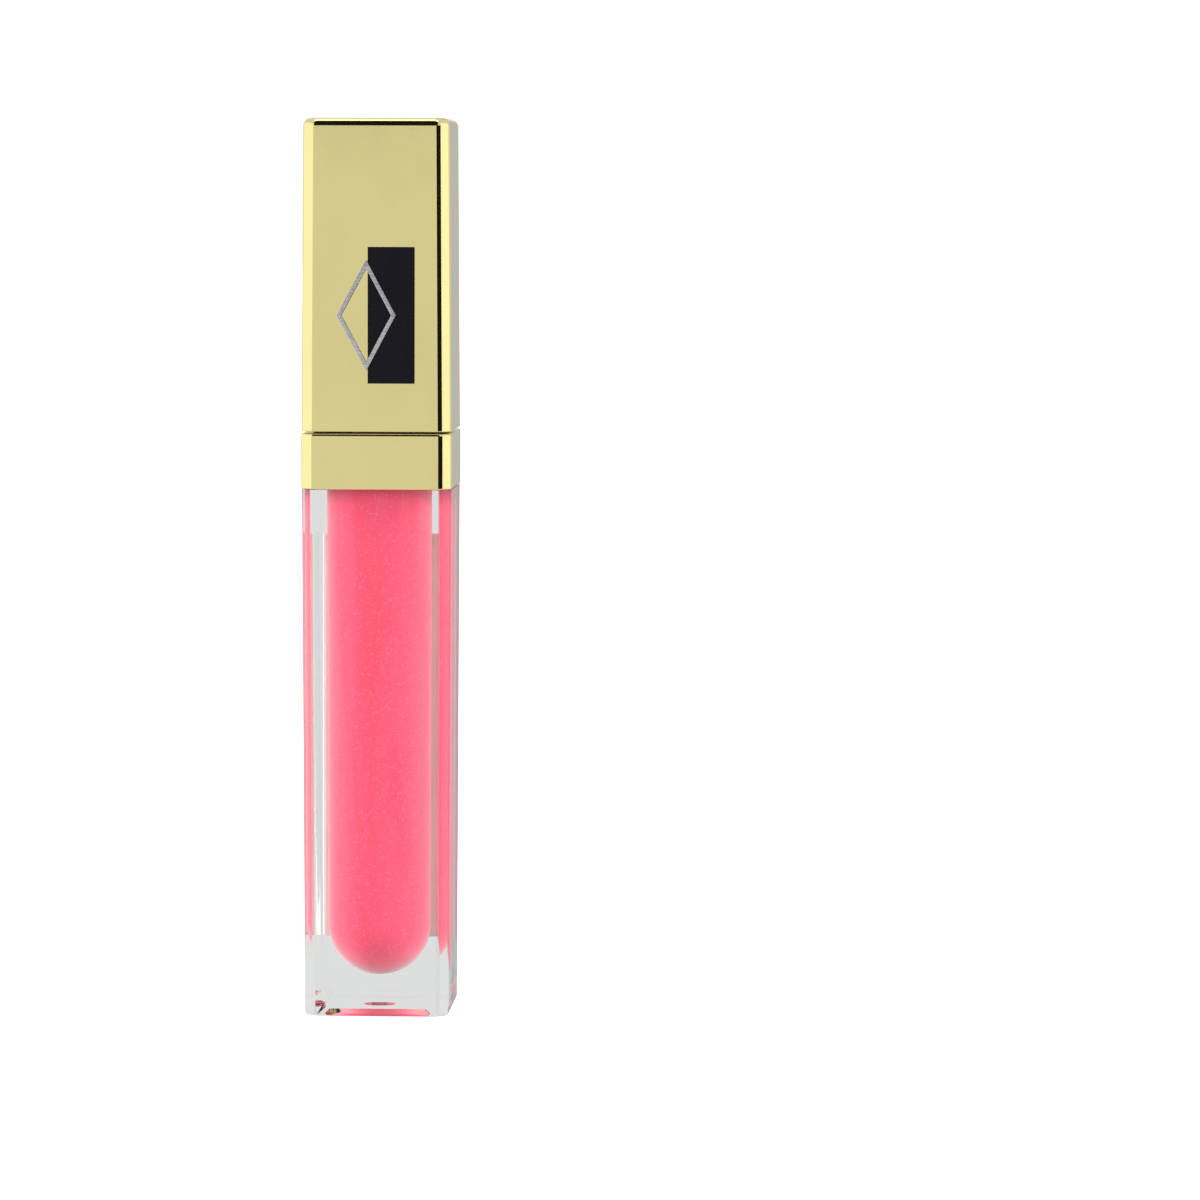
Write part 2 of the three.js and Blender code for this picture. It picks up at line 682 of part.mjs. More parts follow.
function makePositiveContact() {
  const disc = rod(cellRadius - LOOSE, cellsTop, contactTop);
  const arm = box(stripX + CONTACT_THICKNESS / 2, CONTACT_WIDTH, CONTACT_THICKNESS,
    (stripX + CONTACT_THICKNESS / 2) / 2, 0, cellsTop + CONTACT_THICKNESS / 2);
  const stripBottom = boardTop + LOOSE;
  const leg = box(CONTACT_THICKNESS, CONTACT_WIDTH, contactTop - stripBottom,
    stripX, 0, (contactTop + stripBottom) / 2);
  return disc.add(arm).add(leg);
}

function makeBatteryHolder() {
  const bottom = boardTop + LOOSE;
  const rim = contactTop;
  const flangeTop = holderFlangeBottom + HOLDER_FLANGE_THICKNESS;
  const flangeHalf = capInnerHalf(flangeTop) - SLIDE;
  const sleeve = rod(holderRadius, bottom, rim, BORE_FACETS);
  const flange = square([[holderFlangeBottom, flangeHalf], [flangeTop, flangeHalf]], innerChamfer);
  const well = rod(holderInnerRadius, bottom - OVERRUN, rim + OVERRUN, BORE_FACETS);
  const windowHeight = holderFlangeBottom - bottom - 2 * HOLDER_WALL;
  const windowMiddle = (holderFlangeBottom + bottom) / 2;
  const window = box(HOLDER_WINDOW_WIDTH, 2 * holderRadius, windowHeight, 0, -holderRadius, windowMiddle);
  const slotDepth = CONTACT_THICKNESS + 2 * LOOSE;
  const slotHeight = rim - bottom + 2 * OVERRUN;
  const slot = box(slotDepth, CONTACT_WIDTH + 2 * LOOSE, slotHeight, stripX, 0, (rim + bottom) / 2);
  const notchHeight = CONTACT_THICKNESS + LOOSE;
  const notch = box(2 * holderRadius, CONTACT_WIDTH + 2 * LOOSE, 2 * notchHeight, holderRadius, 0, rim);
  return sleeve.add(flange).subtract(well).subtract(window).subtract(slot).subtract(notch);
}

function makeBatteryLid() {
  return rod(holderRadius, lidBottom, lidBottom + LID_THICKNESS, BORE_FACETS);
}

// ---------------------------------------------------------------- assembly

const GOLD = 0xd6cb8c;

function assembleBottle() {
  const group = new THREE.Group();
  group.add(part('bottle', makeBottle(), 0xe4ecec, 0.05, 0, 0.35));
  group.add(part('gloss_fill', makeGlossFill(), 0xff5a7c, 0.3, 0));
  group.add(part('collar', makeCollar(), GOLD, 0.25, 1));
  group.add(part('wiper', makeWiper(), 0xf2efe9, 0.5, 0));
  group.add(makeMirror());
  return group;
}

function assembleSwitch() {
  const group = new THREE.Group();
  const hole = rod(PIN_SPIGOT_DIAMETER / 2 + FIT, discBottom - OVERRUN, discTop + OVERRUN, SMALL_FACETS);
  const disc = rod(DISC_DIAMETER / 2, discBottom, discTop, SMALL_FACETS).subtract(hole);
  const pad = tube(DISC_DIAMETER / 2, PIN_DIAMETER / 2 + SLIDE, boardTop + FIT, padTop, SMALL_FACETS);
  group.add(at(part('plunger_pin', makePlungerPin(), 0xf0f0ee, 0.4, 0), SWITCH_PLACE));
  group.add(at(part('contact_disc', disc, 0xc9a25a, 0.3, 1), SWITCH_PLACE));
  group.add(at(part('switch_pad', pad, 0xd8b45c, 0.3, 1), SWITCH_PLACE));
  group.add(at(part('plunger_spring', makePlungerSpring(), 0xb9bcc0, 0.3, 1), SWITCH_PLACE));
  return group;
}

function assembleLamp() {
  const group = new THREE.Group();
  const ledRadius = lampRadius - FIT;
  const guide = rod(lampRadius, capBottom + LAMP_ABOVE_RIM, guideTop - FIT, SMALL_FACETS);
  const led = rod(ledRadius, guideTop, plateTop + FIT, SMALL_FACETS);
  group.add(at(part('light_guide', guide, 0xf4f8fa, 0.05, 0, 0.4), LAMP_PLACE));
  group.add(at(part('led', led, 0xfff6c8, 0.2, 0), LAMP_PLACE));
  group.add(part('circuit_board', makeCircuitBoard(), 0x1f6b3a, 0.5, 0));
  const resistorMiddle = boardTop + FIT + RESISTOR_HEIGHT / 2;
  const resistor = box(RESISTOR_LENGTH, RESISTOR_WIDTH, RESISTOR_HEIGHT, 0, 0, resistorMiddle);
  const chip = part('resistor', resistor, 0x1c1c1e, 0.5, 0);
  chip.rotation.z = Math.PI / 4;
  group.add(at(chip, { x: cornerOffset, y: -cornerOffset }));
  return group;
}

function assembleCells() {
  const group = new THREE.Group();
  ['cell_lower', 'cell_middle', 'cell_upper'].slice(0, CELL_COUNT).forEach((name, index) => {
    group.add(part(name, makeCell(index), 0xc4c8cc, 0.25, 1));
  });
  group.add(part('battery_spring', makeBatterySpring(), 0xb9bcc0, 0.3, 1));
  group.add(part('positive_contact', makePositiveContact(), 0xc9a25a, 0.3, 1));
  group.add(part('battery_holder', makeBatteryHolder(), 0xe9e9e6, 0.5, 0));
  group.add(part('battery_lid', makeBatteryLid(), 0xe9e9e6, 0.5, 0));
  return group;
}

function assembleCap() {
  const group = new THREE.Group();
  const { turn, face } = faceFrame(capOuterHalf(plaqueZ), plaqueZ, capLean);
  group.add(turn);
  group.add(part('cap_shell', makeCapShell(face), GOLD, 0.3, 1));
  makeFrontTrim(face);
  group.add(part('inner_cap', makeInnerCap(), 0xf3f3f0, 0.4, 0));
  group.add(part('stem', makeStem(), 0xf5f5f2, 0.3, 0));
  group.add(part('applicator_tip', makeApplicatorTip(), 0xf3c6cf, 0.95, 0));
  group.add(assembleLamp());
  group.add(assembleSwitch());
  group.add(assembleCells());
  return group;
}

const lipGlossTube = new THREE.Group();
lipGlossTube.add(assembleBottle());
lipGlossTube.add(part('mouth_seal', makeMouthSeal(), 0xfafafa, 0.7, 0));
lipGlossTube.add(assembleCap());

export default lipGlossTube;
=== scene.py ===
"""Lip gloss tube: the finished surfaces of a square clear tube with a gold, lamp-lit screw cap."""

import math

import bpy
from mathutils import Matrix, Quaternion, Vector


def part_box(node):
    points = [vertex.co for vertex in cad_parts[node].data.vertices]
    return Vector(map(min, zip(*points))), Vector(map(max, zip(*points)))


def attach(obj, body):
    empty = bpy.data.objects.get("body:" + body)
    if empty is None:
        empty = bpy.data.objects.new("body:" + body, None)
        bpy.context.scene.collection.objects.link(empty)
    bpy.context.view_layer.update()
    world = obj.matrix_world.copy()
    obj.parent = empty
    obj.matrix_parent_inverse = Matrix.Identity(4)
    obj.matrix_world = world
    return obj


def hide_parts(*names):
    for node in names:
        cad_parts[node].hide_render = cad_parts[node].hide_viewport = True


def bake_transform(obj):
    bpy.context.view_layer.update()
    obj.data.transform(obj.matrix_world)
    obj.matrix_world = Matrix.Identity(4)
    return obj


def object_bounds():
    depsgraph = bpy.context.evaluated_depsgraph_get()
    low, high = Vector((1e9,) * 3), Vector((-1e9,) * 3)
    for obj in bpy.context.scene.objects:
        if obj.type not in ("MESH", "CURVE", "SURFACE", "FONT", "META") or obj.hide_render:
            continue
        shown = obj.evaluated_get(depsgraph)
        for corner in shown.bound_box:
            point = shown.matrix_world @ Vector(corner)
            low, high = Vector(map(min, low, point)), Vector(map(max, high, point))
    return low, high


bl_info = {
    "name": "Lip Gloss Tube",
    "version": (1, 0, 0),
    "blender": (4, 5, 0),
    "location": "3D View > Sidebar > Lip Gloss",
    "description": "Models a square lip gloss tube, its lamp-lit cap and its wand around a packed frame",
    "category": "Add Mesh",
}

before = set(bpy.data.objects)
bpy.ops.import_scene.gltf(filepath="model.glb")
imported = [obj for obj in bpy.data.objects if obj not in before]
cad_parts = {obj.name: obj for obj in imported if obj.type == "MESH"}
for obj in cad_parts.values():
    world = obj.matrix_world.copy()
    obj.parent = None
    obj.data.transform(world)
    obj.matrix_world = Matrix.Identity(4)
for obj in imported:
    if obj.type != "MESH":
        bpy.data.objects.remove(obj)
FRAME_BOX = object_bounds()

MM = 0.001
ROUND_STEPS = 128
MIDDLE_STEPS = 96
WAND_STEPS = 64
SMALL_STEPS = 48
MERGE_DISTANCE = 1e-7
SLIVER = 0.002 * MM
PAST = 1 * MM  # how far a cutter or a joined shape reaches past a face
FIT = 0.05 * MM  # gap between parts that fit together
PIN_GAP = 0.15 * MM  # gap round the switch pin
FLAT_ANGLE = 32.0  # degrees between faces that still shade as one
COIL_ANGLE = 60.0
NAP_ANGLE = 75.0

BOTTLE = "bottle_unit"
SEAL = "mouth_seal_ring"
SWITCH = "switch_plunger"
CAP = "cap_unit"


def low(node):
    """The height of a node's lowest point."""
    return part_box(node)[0].z


def high(node):
    """The height of a node's highest point."""
    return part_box(node)[1].z


def half(node):
    """Half a node's width along X."""
    lowest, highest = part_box(node)
    return (highest.x - lowest.x) / 2


def middle(node):
    """The centre of a node's box."""
    lowest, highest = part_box(node)
    return (lowest + highest) / 2


def right(node):
    """The X of a node's rightmost point."""
    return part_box(node)[1].x


def height(node):
    return high(node) - low(node)


def spot(node):
    """The place on the ground under a node's centre."""
    return (*middle(node).xy, 0)


# ---------------------------------------------------------------- sizes and colours


def number(name, description, default, **kind):
    return bpy.props.FloatProperty(name=name, description=description, default=default, **kind)


def length(name, description, default):
    return number(name, description, default, min=0.0, unit="LENGTH", precision=5)


def colour(name, description, default):
    return bpy.props.FloatVectorProperty(
        name=name, description=description, default=default, size=3, min=0.0, max=1.0, subtype="COLOR"
    )


class TubeBottleSizes(bpy.types.PropertyGroup):
    """Sizes of the clear bottle, its collar and its mirror."""

    base_half: length("Base half width", "Half the bottle's width at its base", 8.35 * MM)
    chamfer: length("Corner chamfer", "Leg of the flat cut along each upright corner", 1.2 * MM)
    softening: length("Corner softening", "Rounding where that cut meets a face", 0.3 * MM)
    base_edge: length("Base edge radius", "Rounding round the base", 0.5 * MM)
    foot_width: length("Foot width", "Width of the foot round the hollow under the base", 1.3 * MM)
    foot_depth: length("Foot depth", "Depth of the hollow under the base", 0.75 * MM)
    foot_slope: length("Foot slope", "How far the hollow's side leans in", 1.0 * MM)
    gate_radius: length("Gate radius", "Radius of the gate mark in the hollow", 2.05 * MM)
    gate_depth: length("Gate depth", "How far the gate mark stands down", 0.65 * MM)
    bore_base: length("Bore radius at base", "Radius of the bore above its dome", 5.925 * MM)
    bore_top: length("Bore radius at top", "Radius of the bore under the shoulder", 6.05 * MM)
    base_thickness: length("Base thickness", "Clear plastic under the bore", 4.3 * MM)
    neck_radius: length("Neck radius", "Outer radius of the neck", 4.9 * MM)
    neck_bore: length("Neck bore", "Inner radius of the neck", 3.6 * MM)
    cone_bottom: length("Cone bottom", "Height where the bore starts to narrow", 62.6 * MM)
    shoulder_half: length("Shoulder half width", "Half width of the shoulder inside the collar", 7.855 * MM)
    shoulder_top: length("Shoulder top", "Height of the square shoulder's top", 66.3 * MM)
    ridge_crest: length("Ridge crest", "Radius at the crest of the neck's thread", 5.65 * MM)
    thread_start: length("Thread start", "Height where the neck's thread starts", 71.9 * MM)
    wetting: length("Wetting", "How far the gloss laps into the bore's wall", 0.02 * MM)
    collar_wall: length("Collar wall", "Thickness of the collar's sides", 0.72 * MM)
    collar_edge: length("Collar edge", "Radius round the collar's top", 0.35 * MM)


class TubeThreadSizes(bpy.types.PropertyGroup):
    """Sizes of the screw thread."""

    lead: length("Lead", "Rise of the thread in one turn", 2.1 * MM)
    root_width: length("Root width", "Width of a ridge at its root", 1.05 * MM)
    crest_width: length("Crest width", "Width of a ridge at its crest", 0.45 * MM)
    sink: length("Sink", "How far a ridge's root is sunk in its wall", 0.3 * MM)
    neck_turns: number("Neck turns", "Length of the neck's ridge", 1.1)
    cap_turns: number("Cap turns", "Length of the cap's ridge", 0.75)
    cap_late: number("Cap offset", "Turns by which the cap's ridge starts late", 0.2)


class TubeCapSizes(bpy.types.PropertyGroup):
    """Sizes of the gold cap and what it carries."""

    taper: length("Taper", "How much narrower each side is at the top", 0.225 * MM)
    wall: length("Wall", "Thickness of the shell", 1.0 * MM)
    top_edge: length("Top edge", "Radius round the cap's top", 0.9 * MM)
    rim_edge: length("Rim edge", "Radius round the cap's rim", 0.15 * MM)
    inner_chamfer: length("Inner chamfer", "Corner cut inside the shell", 0.614 * MM)
    recess_depth: length("Recess depth", "Depth of the front panel's recess", 0.35 * MM)
    recess_gap: length("Recess gap", "Gap round the front panel", 0.05 * MM)
    closure_radius: length("Closure radius", "Outer radius of the threaded closure", 7.0 * MM)
    closure_bore: length("Closure bore", "Inner radius of the threaded closure", 5.9 * MM)
    closure_crest: length("Closure crest", "Radius at the crest of the cap's thread", 5.15 * MM)
    plate: length("Plate thickness", "Thickness of the closure's mounting plate", 1.5 * MM)
    stem_radius: length("Stem radius", "Radius of the wand's stem", 1.75 * MM)
    motif_line: length("Motif line", "Width of the lozenge's line", 0.5 * MM)


class TubeColours(bpy.types.PropertyGroup):
    """Colours of the finishes."""

    gold: colour("Gold", "Metallised gold", (0.90, 0.80, 0.36))
    gloss: colour("Gloss", "Pink lip gloss", (0.98, 0.06, 0.142))
    clear: colour("Clear plastic", "Tint of the bottle", (0.955, 0.975, 0.965))
    panel: colour("Panel", "Front panel", (0.002, 0.002, 0.004))
    silver: colour("Silver", "Lozenge", (0.80, 0.79, 0.84))
    white: colour("White plastic", "Closure, holder and stem", (0.48, 0.48, 0.465))
    flock: colour("Flock", "Applicator's fibres", (0.72, 0.28, 0.36))


class TubeStageSizes(bpy.types.PropertyGroup):
    """Where the camera stands, how it aims and its lens."""

    distance: length("Distance", "Camera to the tube's centre", 0.645)
    azimuth: number("Azimuth", "Camera's turn towards +X, degrees", 4.75)
    elevation: number("Elevation", "Camera's height, degrees", 3.9)
    lens: number("Lens", "Focal length", 166.3, unit="CAMERA")
    pan: number("Pan", "Aim to the right of the tube, degrees", 2.252)
    tilt: number("Tilt", "Aim below the tube's centre, degrees", 0.362)


# ---------------------------------------------------------------- modelling tools


def clear_selection():
    """Object mode with nothing selected."""
    if bpy.context.object and bpy.context.mode != "OBJECT":
        bpy.ops.object.mode_set(mode="OBJECT")
    bpy.ops.object.select_all(action="DESELECT")


def only(piece):
    """Selects one object and makes it active."""
    clear_selection()
    piece.select_set(True)
    bpy.context.view_layer.objects.active = piece


def start_edit():
    bpy.ops.object.mode_set(mode="EDIT")
    bpy.ops.mesh.select_all(action="SELECT")


def end_edit():
    """Merges doubles, turns the faces out and leaves edit mode."""
    bpy.ops.mesh.select_all(action="SELECT")
    bpy.ops.mesh.remove_doubles(threshold=MERGE_DISTANCE)
    bpy.ops.mesh.normals_make_consistent(inside=False)
    bpy.ops.object.mode_set(mode="OBJECT")


def arc(centre_r, centre_z, radius, start, end, steps):
    """Points (radius, height) along an arc, angles in degrees."""
    points = []
    for i in range(steps + 1):
        angle = math.radians(start + (end - start) * i / steps)
        points.append((centre_r + radius * math.cos(angle), centre_z + radius * math.sin(angle)))
    return points


def lower_edge(z, reach, radius, steps=6):
    """Outline points round a lower outer edge, from the underside to the side."""
    return arc(reach - radius, z + radius, radius, -90, 0, steps)


def upper_edge(z, reach, radius, steps=6):
    """Outline points round an upper outer edge, from the side to the top."""
    return arc(reach - radius, z - radius, radius, 0, 90, steps)


def drawn(name, profile):
    """A new piece in edit mode: one vertex drawn out along a (radius, height) profile."""
    clear_selection()
    bpy.ops.mesh.primitive_plane_add(size=MM)
    piece = bpy.context.object
    piece.name = name
    start_edit()
    bpy.ops.mesh.merge(type="CENTER")
    bpy.ops.transform.translate(value=(profile[0][0], 0, profile[0][1]))
    for here, there in zip(profile, profile[1:]):
        step = (there[0] - here[0], 0, there[1] - here[1])
        bpy.ops.mesh.extrude_region_move(TRANSFORM_OT_translate={"value": step})
    bpy.ops.mesh.select_all(action="SELECT")
    return piece


def turned(name, profile, steps=ROUND_STEPS):
    """A turned piece about Z, its (radius, height) outline spun once round."""
    piece = drawn(name, profile)
    bpy.ops.mesh.spin(steps=steps, angle=2 * math.pi, center=(0, 0, 0), axis=(0, 0, 1))
    end_edit()
    return piece


def ring(name, profile, steps=ROUND_STEPS):
    """A turned ring whose outline closes on itself."""
    return turned(name, [*profile, profile[0]], steps)


def washer(name, node, hole, edge, steps):
    """A ring as high and wide as a node, its outer edges rounded."""
    low_z, high_z, reach = low(node), high(node), half(node)
    sides = [*lower_edge(low_z, reach, edge, 4), *upper_edge(high_z, reach, edge, 4)]
    return ring(name, [(hole, high_z), (hole, low_z), *sides], steps)


def post(name, radius, bottom, top, steps=ROUND_STEPS):
    """A plain round post."""
    return turned(name, [(0, bottom), (radius, bottom), (radius, top), (0, top)], steps)


def rod(name, radius, bottom, top, edge, steps=SMALL_STEPS, edge_steps=4):
    """A round rod with both ends' edges rounded."""
    sides = [*lower_edge(bottom, radius, edge, edge_steps), *upper_edge(top, radius, edge, edge_steps)]
    return turned(name, [(0, bottom), *sides, (0, top)], steps)


def squared(name, levels, chamfer, softening):
    """An upright square piece drawn up through (half width, height) levels, its corners cut flat."""
    clear_selection()
    reach, z = levels[0]
    start_scale = reach / max(width for width, _ in levels)
    bpy.ops.mesh.primitive_plane_add(size=2 * reach, location=(0, 0, z))
    piece = bpy.context.object
    piece.name = name
    bpy.ops.object.transform_apply()
    start_edit()
    bpy.ops.mesh.bevel(offset=chamfer * start_scale, segments=1, affect="VERTICES")
    bpy.ops.mesh.select_all(action="SELECT")
    bpy.ops.mesh.bevel(offset=softening * start_scale, segments=4, affect="VERTICES")
    for (reach, z), (next_reach, next_z) in zip(levels, levels[1:]):
        bpy.ops.mesh.extrude_region_move(TRANSFORM_OT_translate={"value": (0, 0, next_z - z)})
        growth = next_reach / reach
        bpy.ops.transform.resize(value=(growth, growth, 1), center_override=(0, 0, next_z))
    end_edit()
    return piece


def block(name, lowest, highest, bevel=0.0, segments=2):
    """A box between two corners, its edges rounded."""
    clear_selection()
    centre = (lowest + highest) / 2
    bpy.ops.mesh.primitive_cube_add(size=1, location=centre, scale=highest - lowest)
    piece = bpy.context.object
    piece.name = name
    bpy.ops.object.transform_apply()
    if bevel:
        start_edit()
        bpy.ops.mesh.bevel(offset=bevel, segments=segments, affect="EDGES")
        end_edit()
    return piece


def centred(name, size, bevel, segments=2):
    """A block of a size (X, Y, Z) centred on the origin."""
    corner = Vector(size) / 2
    return block(name, -corner, corner, bevel, segments)


def apply_modifier(piece, kind, **settings):
    """Adds a modifier with the given settings and applies it."""
    only(piece)
    bpy.ops.object.modifier_add(type=kind)
    modifier = piece.modifiers[-1]
    for key, value in settings.items():
        setattr(modifier, key, value)
    bpy.ops.object.modifier_apply(modifier=modifier.name)


def combine(body, operation, *tools):
    """Joins or cuts a closed piece with closed tools, one by one; the tools are used up."""
    for tool in tools:
        apply_modifier(body, "BOOLEAN", operation=operation, solver="EXACT", object=tool)
        bpy.data.objects.remove(tool)


def join(body, *tools):
    combine(body, "UNION", *tools)


def cut(body, *tools):
    combine(body, "DIFFERENCE", *tools)


def drop_slivers(piece):
    """Merges the points and drops the slivers that a cut left."""
    only(piece)
    start_edit()
    bpy.ops.mesh.remove_doubles(threshold=SLIVER)
    bpy.ops.mesh.dissolve_degenerate(threshold=SLIVER)
    end_edit()


def move_to(piece, offset):
    """Moves a finished shape and keeps its object at the origin."""
    only(piece)
    bpy.ops.transform.translate(value=offset)
    bpy.ops.object.transform_apply()
    return piece


def wound(name, section, lead, turns, start_z, start_turns=0.0, steps_per_turn=72):
    """A closed (radius, height) section wound up a right-hand helix, with both ends filled."""
    piece = drawn(name, [*section, section[0]])
    bpy.ops.mesh.remove_doubles(threshold=MERGE_DISTANCE)
    bpy.ops.object.mode_set(mode="OBJECT")
    steps = round(steps_per_turn * turns)
    apply_modifier(
        piece,
        "SCREW",
        angle=2 * math.pi * turns,
        screw_offset=lead * turns,
        steps=steps,
        render_steps=steps,
        use_normal_calculate=True,
    )
    start_edit()
    bpy.ops.mesh.remove_doubles(threshold=MERGE_DISTANCE)
    bpy.ops.mesh.fill_holes(sides=0)
    end_edit()
    piece.rotation_euler.z = 2 * math.pi * start_turns
    return move_to(piece, (0, 0, start_z))


def ridge(name, wall, crest, turns, start_z, start_turns=0.0):
    """A thread ridge on a wall of the given radius."""
    thread = bpy.context.scene.tube_thread
    root = wall + math.copysign(thread.sink, wall - crest)
    section = [
        (root, -thread.root_width / 2),
        (crest, -thread.crest_width / 2),
        (crest, thread.crest_width / 2),
        (root, thread.root_width / 2),
    ]
    return wound(name, section, thread.lead, turns, start_z, start_turns)


def coil(name, node, wire, turns, steps_per_turn):
    """A round wire wound up the height of a node."""
    section = arc(half(node) - wire / 2, 0, wire / 2, 0, 330, 11)
    lead = (height(node) - wire) / turns
    return wound(name, section, lead, turns, low(node) + wire / 2, 0, steps_per_turn)


def hand_over(piece, body, material, node, angle=FLAT_ANGLE):
    """Shades a finished piece, gives it its material and puts it in place of its CAD node."""
    only(piece)
    bpy.ops.object.shade_smooth_by_angle(angle=math.radians(angle))
    apply_modifier(piece, "WEIGHTED_NORMAL", keep_sharp=True, weight=80)
    piece.data.materials.clear()
    piece.data.materials.append(material)
    if body:
        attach(piece, body)
    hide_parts(node)


# ---------------------------------------------------------------- finishes

BRASS = (0.72, 0.5, 0.22)
STEEL = (0.56, 0.57, 0.58)


def add(tree, kind, values=None, **settings):
    """A shader node with its settings, its inputs given as plain values or as other nodes' outputs."""
    node = tree.nodes.new(kind)
    for key, value in settings.items():
        setattr(node, key, value)
    for socket, value in (values or {}).items():
        if isinstance(value, bpy.types.NodeSocket):
            tree.links.new(value, node.inputs[socket])
        else:
            node.inputs[socket].default_value = value
    return node


def math_node(tree, operation, first, second):
    return add(tree, "ShaderNodeMath", {0: first, 1: second}, operation=operation).outputs[0]


def spread(tree, value, low, high, to_low, to_high):
    """A varying value spread from one range to another."""
    values = {"Value": value, "From Min": low, "From Max": high, "To Min": to_low, "To Max": to_high}
    return add(tree, "ShaderNodeMapRange", values, interpolation_type="SMOOTHSTEP").outputs[0]


def mixed(tree, factor, first, second):
    """Two colours mixed by a varying mask; a colour mix has its sockets at these places."""
    return add(tree, "ShaderNodeMix", {0: factor, 6: first, 7: second}, data_type="RGBA").outputs[2]


def rgba(values, shade=1.0):
    return (*(min(1.0, value * shade) for value in values), 1.0)


def noise(tree, position, scale, detail=2.0, stretch=None):
    """Noise at a position, optionally stretched along the axes first."""
    if stretch:
        position = add(tree, "ShaderNodeMapping", {"Vector": position, "Scale": stretch}).outputs[0]
    values = {"Vector": position, "Scale": scale, "Detail": detail}
    return add(tree, "ShaderNodeTexNoise", values).outputs["Fac"]


SOCKET_KINDS = {float: "NodeSocketFloat", tuple: "NodeSocketColor", Vector: "NodeSocketVector"}
SURFACE_OUTPUTS = {"Color": tuple, "Roughness": float, "Height": float}


def new_surface(name, inputs):
    """An empty surface group with the inputs' defaults; gives its tree, inputs and object position."""
    group = bpy.data.node_groups.new(name, "ShaderNodeTree")
    for label, default in inputs.items():
        socket = group.interface.new_socket(label, in_out="INPUT", socket_type=SOCKET_KINDS[type(default)])
        socket.default_value = default
    for label, kind in SURFACE_OUTPUTS.items():
        group.interface.new_socket(label, in_out="OUTPUT", socket_type=SOCKET_KINDS[kind])
    return group, add(group, "NodeGroupInput").outputs, add(group, "ShaderNodeTexCoord").outputs["Object"]


def give(group, color, roughness, height):
    """Links a surface group's results to its outputs."""
    add(group, "NodeGroupOutput", {"Color": color, "Roughness": roughness, "Height": height})
    return group


def made_surface():
    """A made part's surface: slow colour drift, faint smudges and a fine grain."""
    inputs = {
        "Color": (0.8, 0.8, 0.8, 1.0),
        "Drift Color": (0.7, 0.7, 0.7, 1.0),
        "Drift Scale": 90.0,
        "Grain Scale": 4000.0,
        "Smooth": 0.2,
        "Rough": 0.3,
    }
    group, given, position = new_surface("Made Surface", inputs)
    drift = spread(group, noise(group, position, given["Drift Scale"]), 0.35, 0.65, 0.0, 1.0)
    smudge = math_node(group, "MULTIPLY", noise(group, position, 260.0, 4.0, (1.0, 1.0, 0.45)), 0.6)
    grain = noise(group, position, given["Grain Scale"], 3.0)
    blend = math_node(group, "ADD", smudge, math_node(group, "MULTIPLY", grain, 0.4))
    color = mixed(group, drift, given["Color"], given["Drift Color"])
    return give(group, color, spread(group, blend, 0.35, 0.65, given["Smooth"], given["Rough"]), grain)


def turned_lines():
    """Fine lines left by turning or drawing a round part about a centre."""
    inputs = {
        "Color": (0.6, 0.6, 0.6, 1.0),
        "Line Color": (0.5, 0.5, 0.5, 1.0),
        "Centre": Vector((0.0, 0.0, 0.0)),
        "Line Scale": 9000.0,
        "Smooth": 0.18,
        "Rough": 0.34,
    }
    group, given, position = new_surface("Turned Lines", inputs)
    offset = add(group, "ShaderNodeVectorMath", {0: position, 1: given["Centre"]}, operation="SUBTRACT")
    split = add(group, "ShaderNodeSeparateXYZ", {0: offset.outputs[0]}).outputs
    flat = add(group, "ShaderNodeCombineXYZ", {0: split[0], 1: split[1]})
    radius = add(group, "ShaderNodeVectorMath", {0: flat.outputs[0]}, operation="LENGTH")
    place = add(group, "ShaderNodeCombineXYZ", {0: radius.outputs["Value"], 1: split[2]})
    lines = noise(group, place.outputs[0], given["Line Scale"], 4.0)
    mask = spread(group, lines, 0.38, 0.62, 0.0, 1.0)
    color = mixed(group, mask, given["Color"], given["Line Color"])
    return give(group, color, spread(group, lines, 0.35, 0.65, given["Smooth"], given["Rough"]), lines)


def pearl_shimmer():
    """Suspended pearl flakes and slow vertical streaks, as in a thick gloss."""
    inputs = {
        "Color": (0.9, 0.06, 0.14, 1.0),
        "Streak Color": (0.95, 0.12, 0.2, 1.0),
        "Flake Color": (1.0, 0.45, 0.5, 1.0),
        "Flake Scale": 5200.0,
        "Flake Share": 0.06,
    }
    group, given, position = new_surface("Pearl Shimmer", inputs)
    streak = spread(group, noise(group, position, 420.0, 3.0, (1.0, 1.0, 0.12)), 0.35, 0.65, 0.0, 1.0)
    flakes = add(group, "ShaderNodeTexVoronoi", {"Vector": position, "Scale": given["Flake Scale"]})
    pick = add(group, "ShaderNodeSeparateColor", {0: flakes.outputs["Color"]})
    share = math_node(group, "LESS_THAN", pick.outputs[0], given["Flake Share"])
    core = math_node(group, "LESS_THAN", flakes.outputs["Distance"], 0.32)
    flake = math_node(group, "MULTIPLY", share, core)
    body = mixed(group, streak, given["Color"], given["Streak Color"])
    color = mixed(group, flake, body, given["Flake Color"])
    return give(group, color, spread(group, flake, 0.0, 1.0, 0.34, 0.16), pick.outputs[1])


def group_of(build):
    """The node group that a function builds, made on its first use."""
    name = build.__name__.replace("_", " ").title()
    return bpy.data.node_groups.get(name) or build()


def new_material(name):
    material = bpy.data.materials.new(name)
    material.use_nodes = True
    return material


def shader_of(material):
    return material.node_tree.nodes["Principled BSDF"]


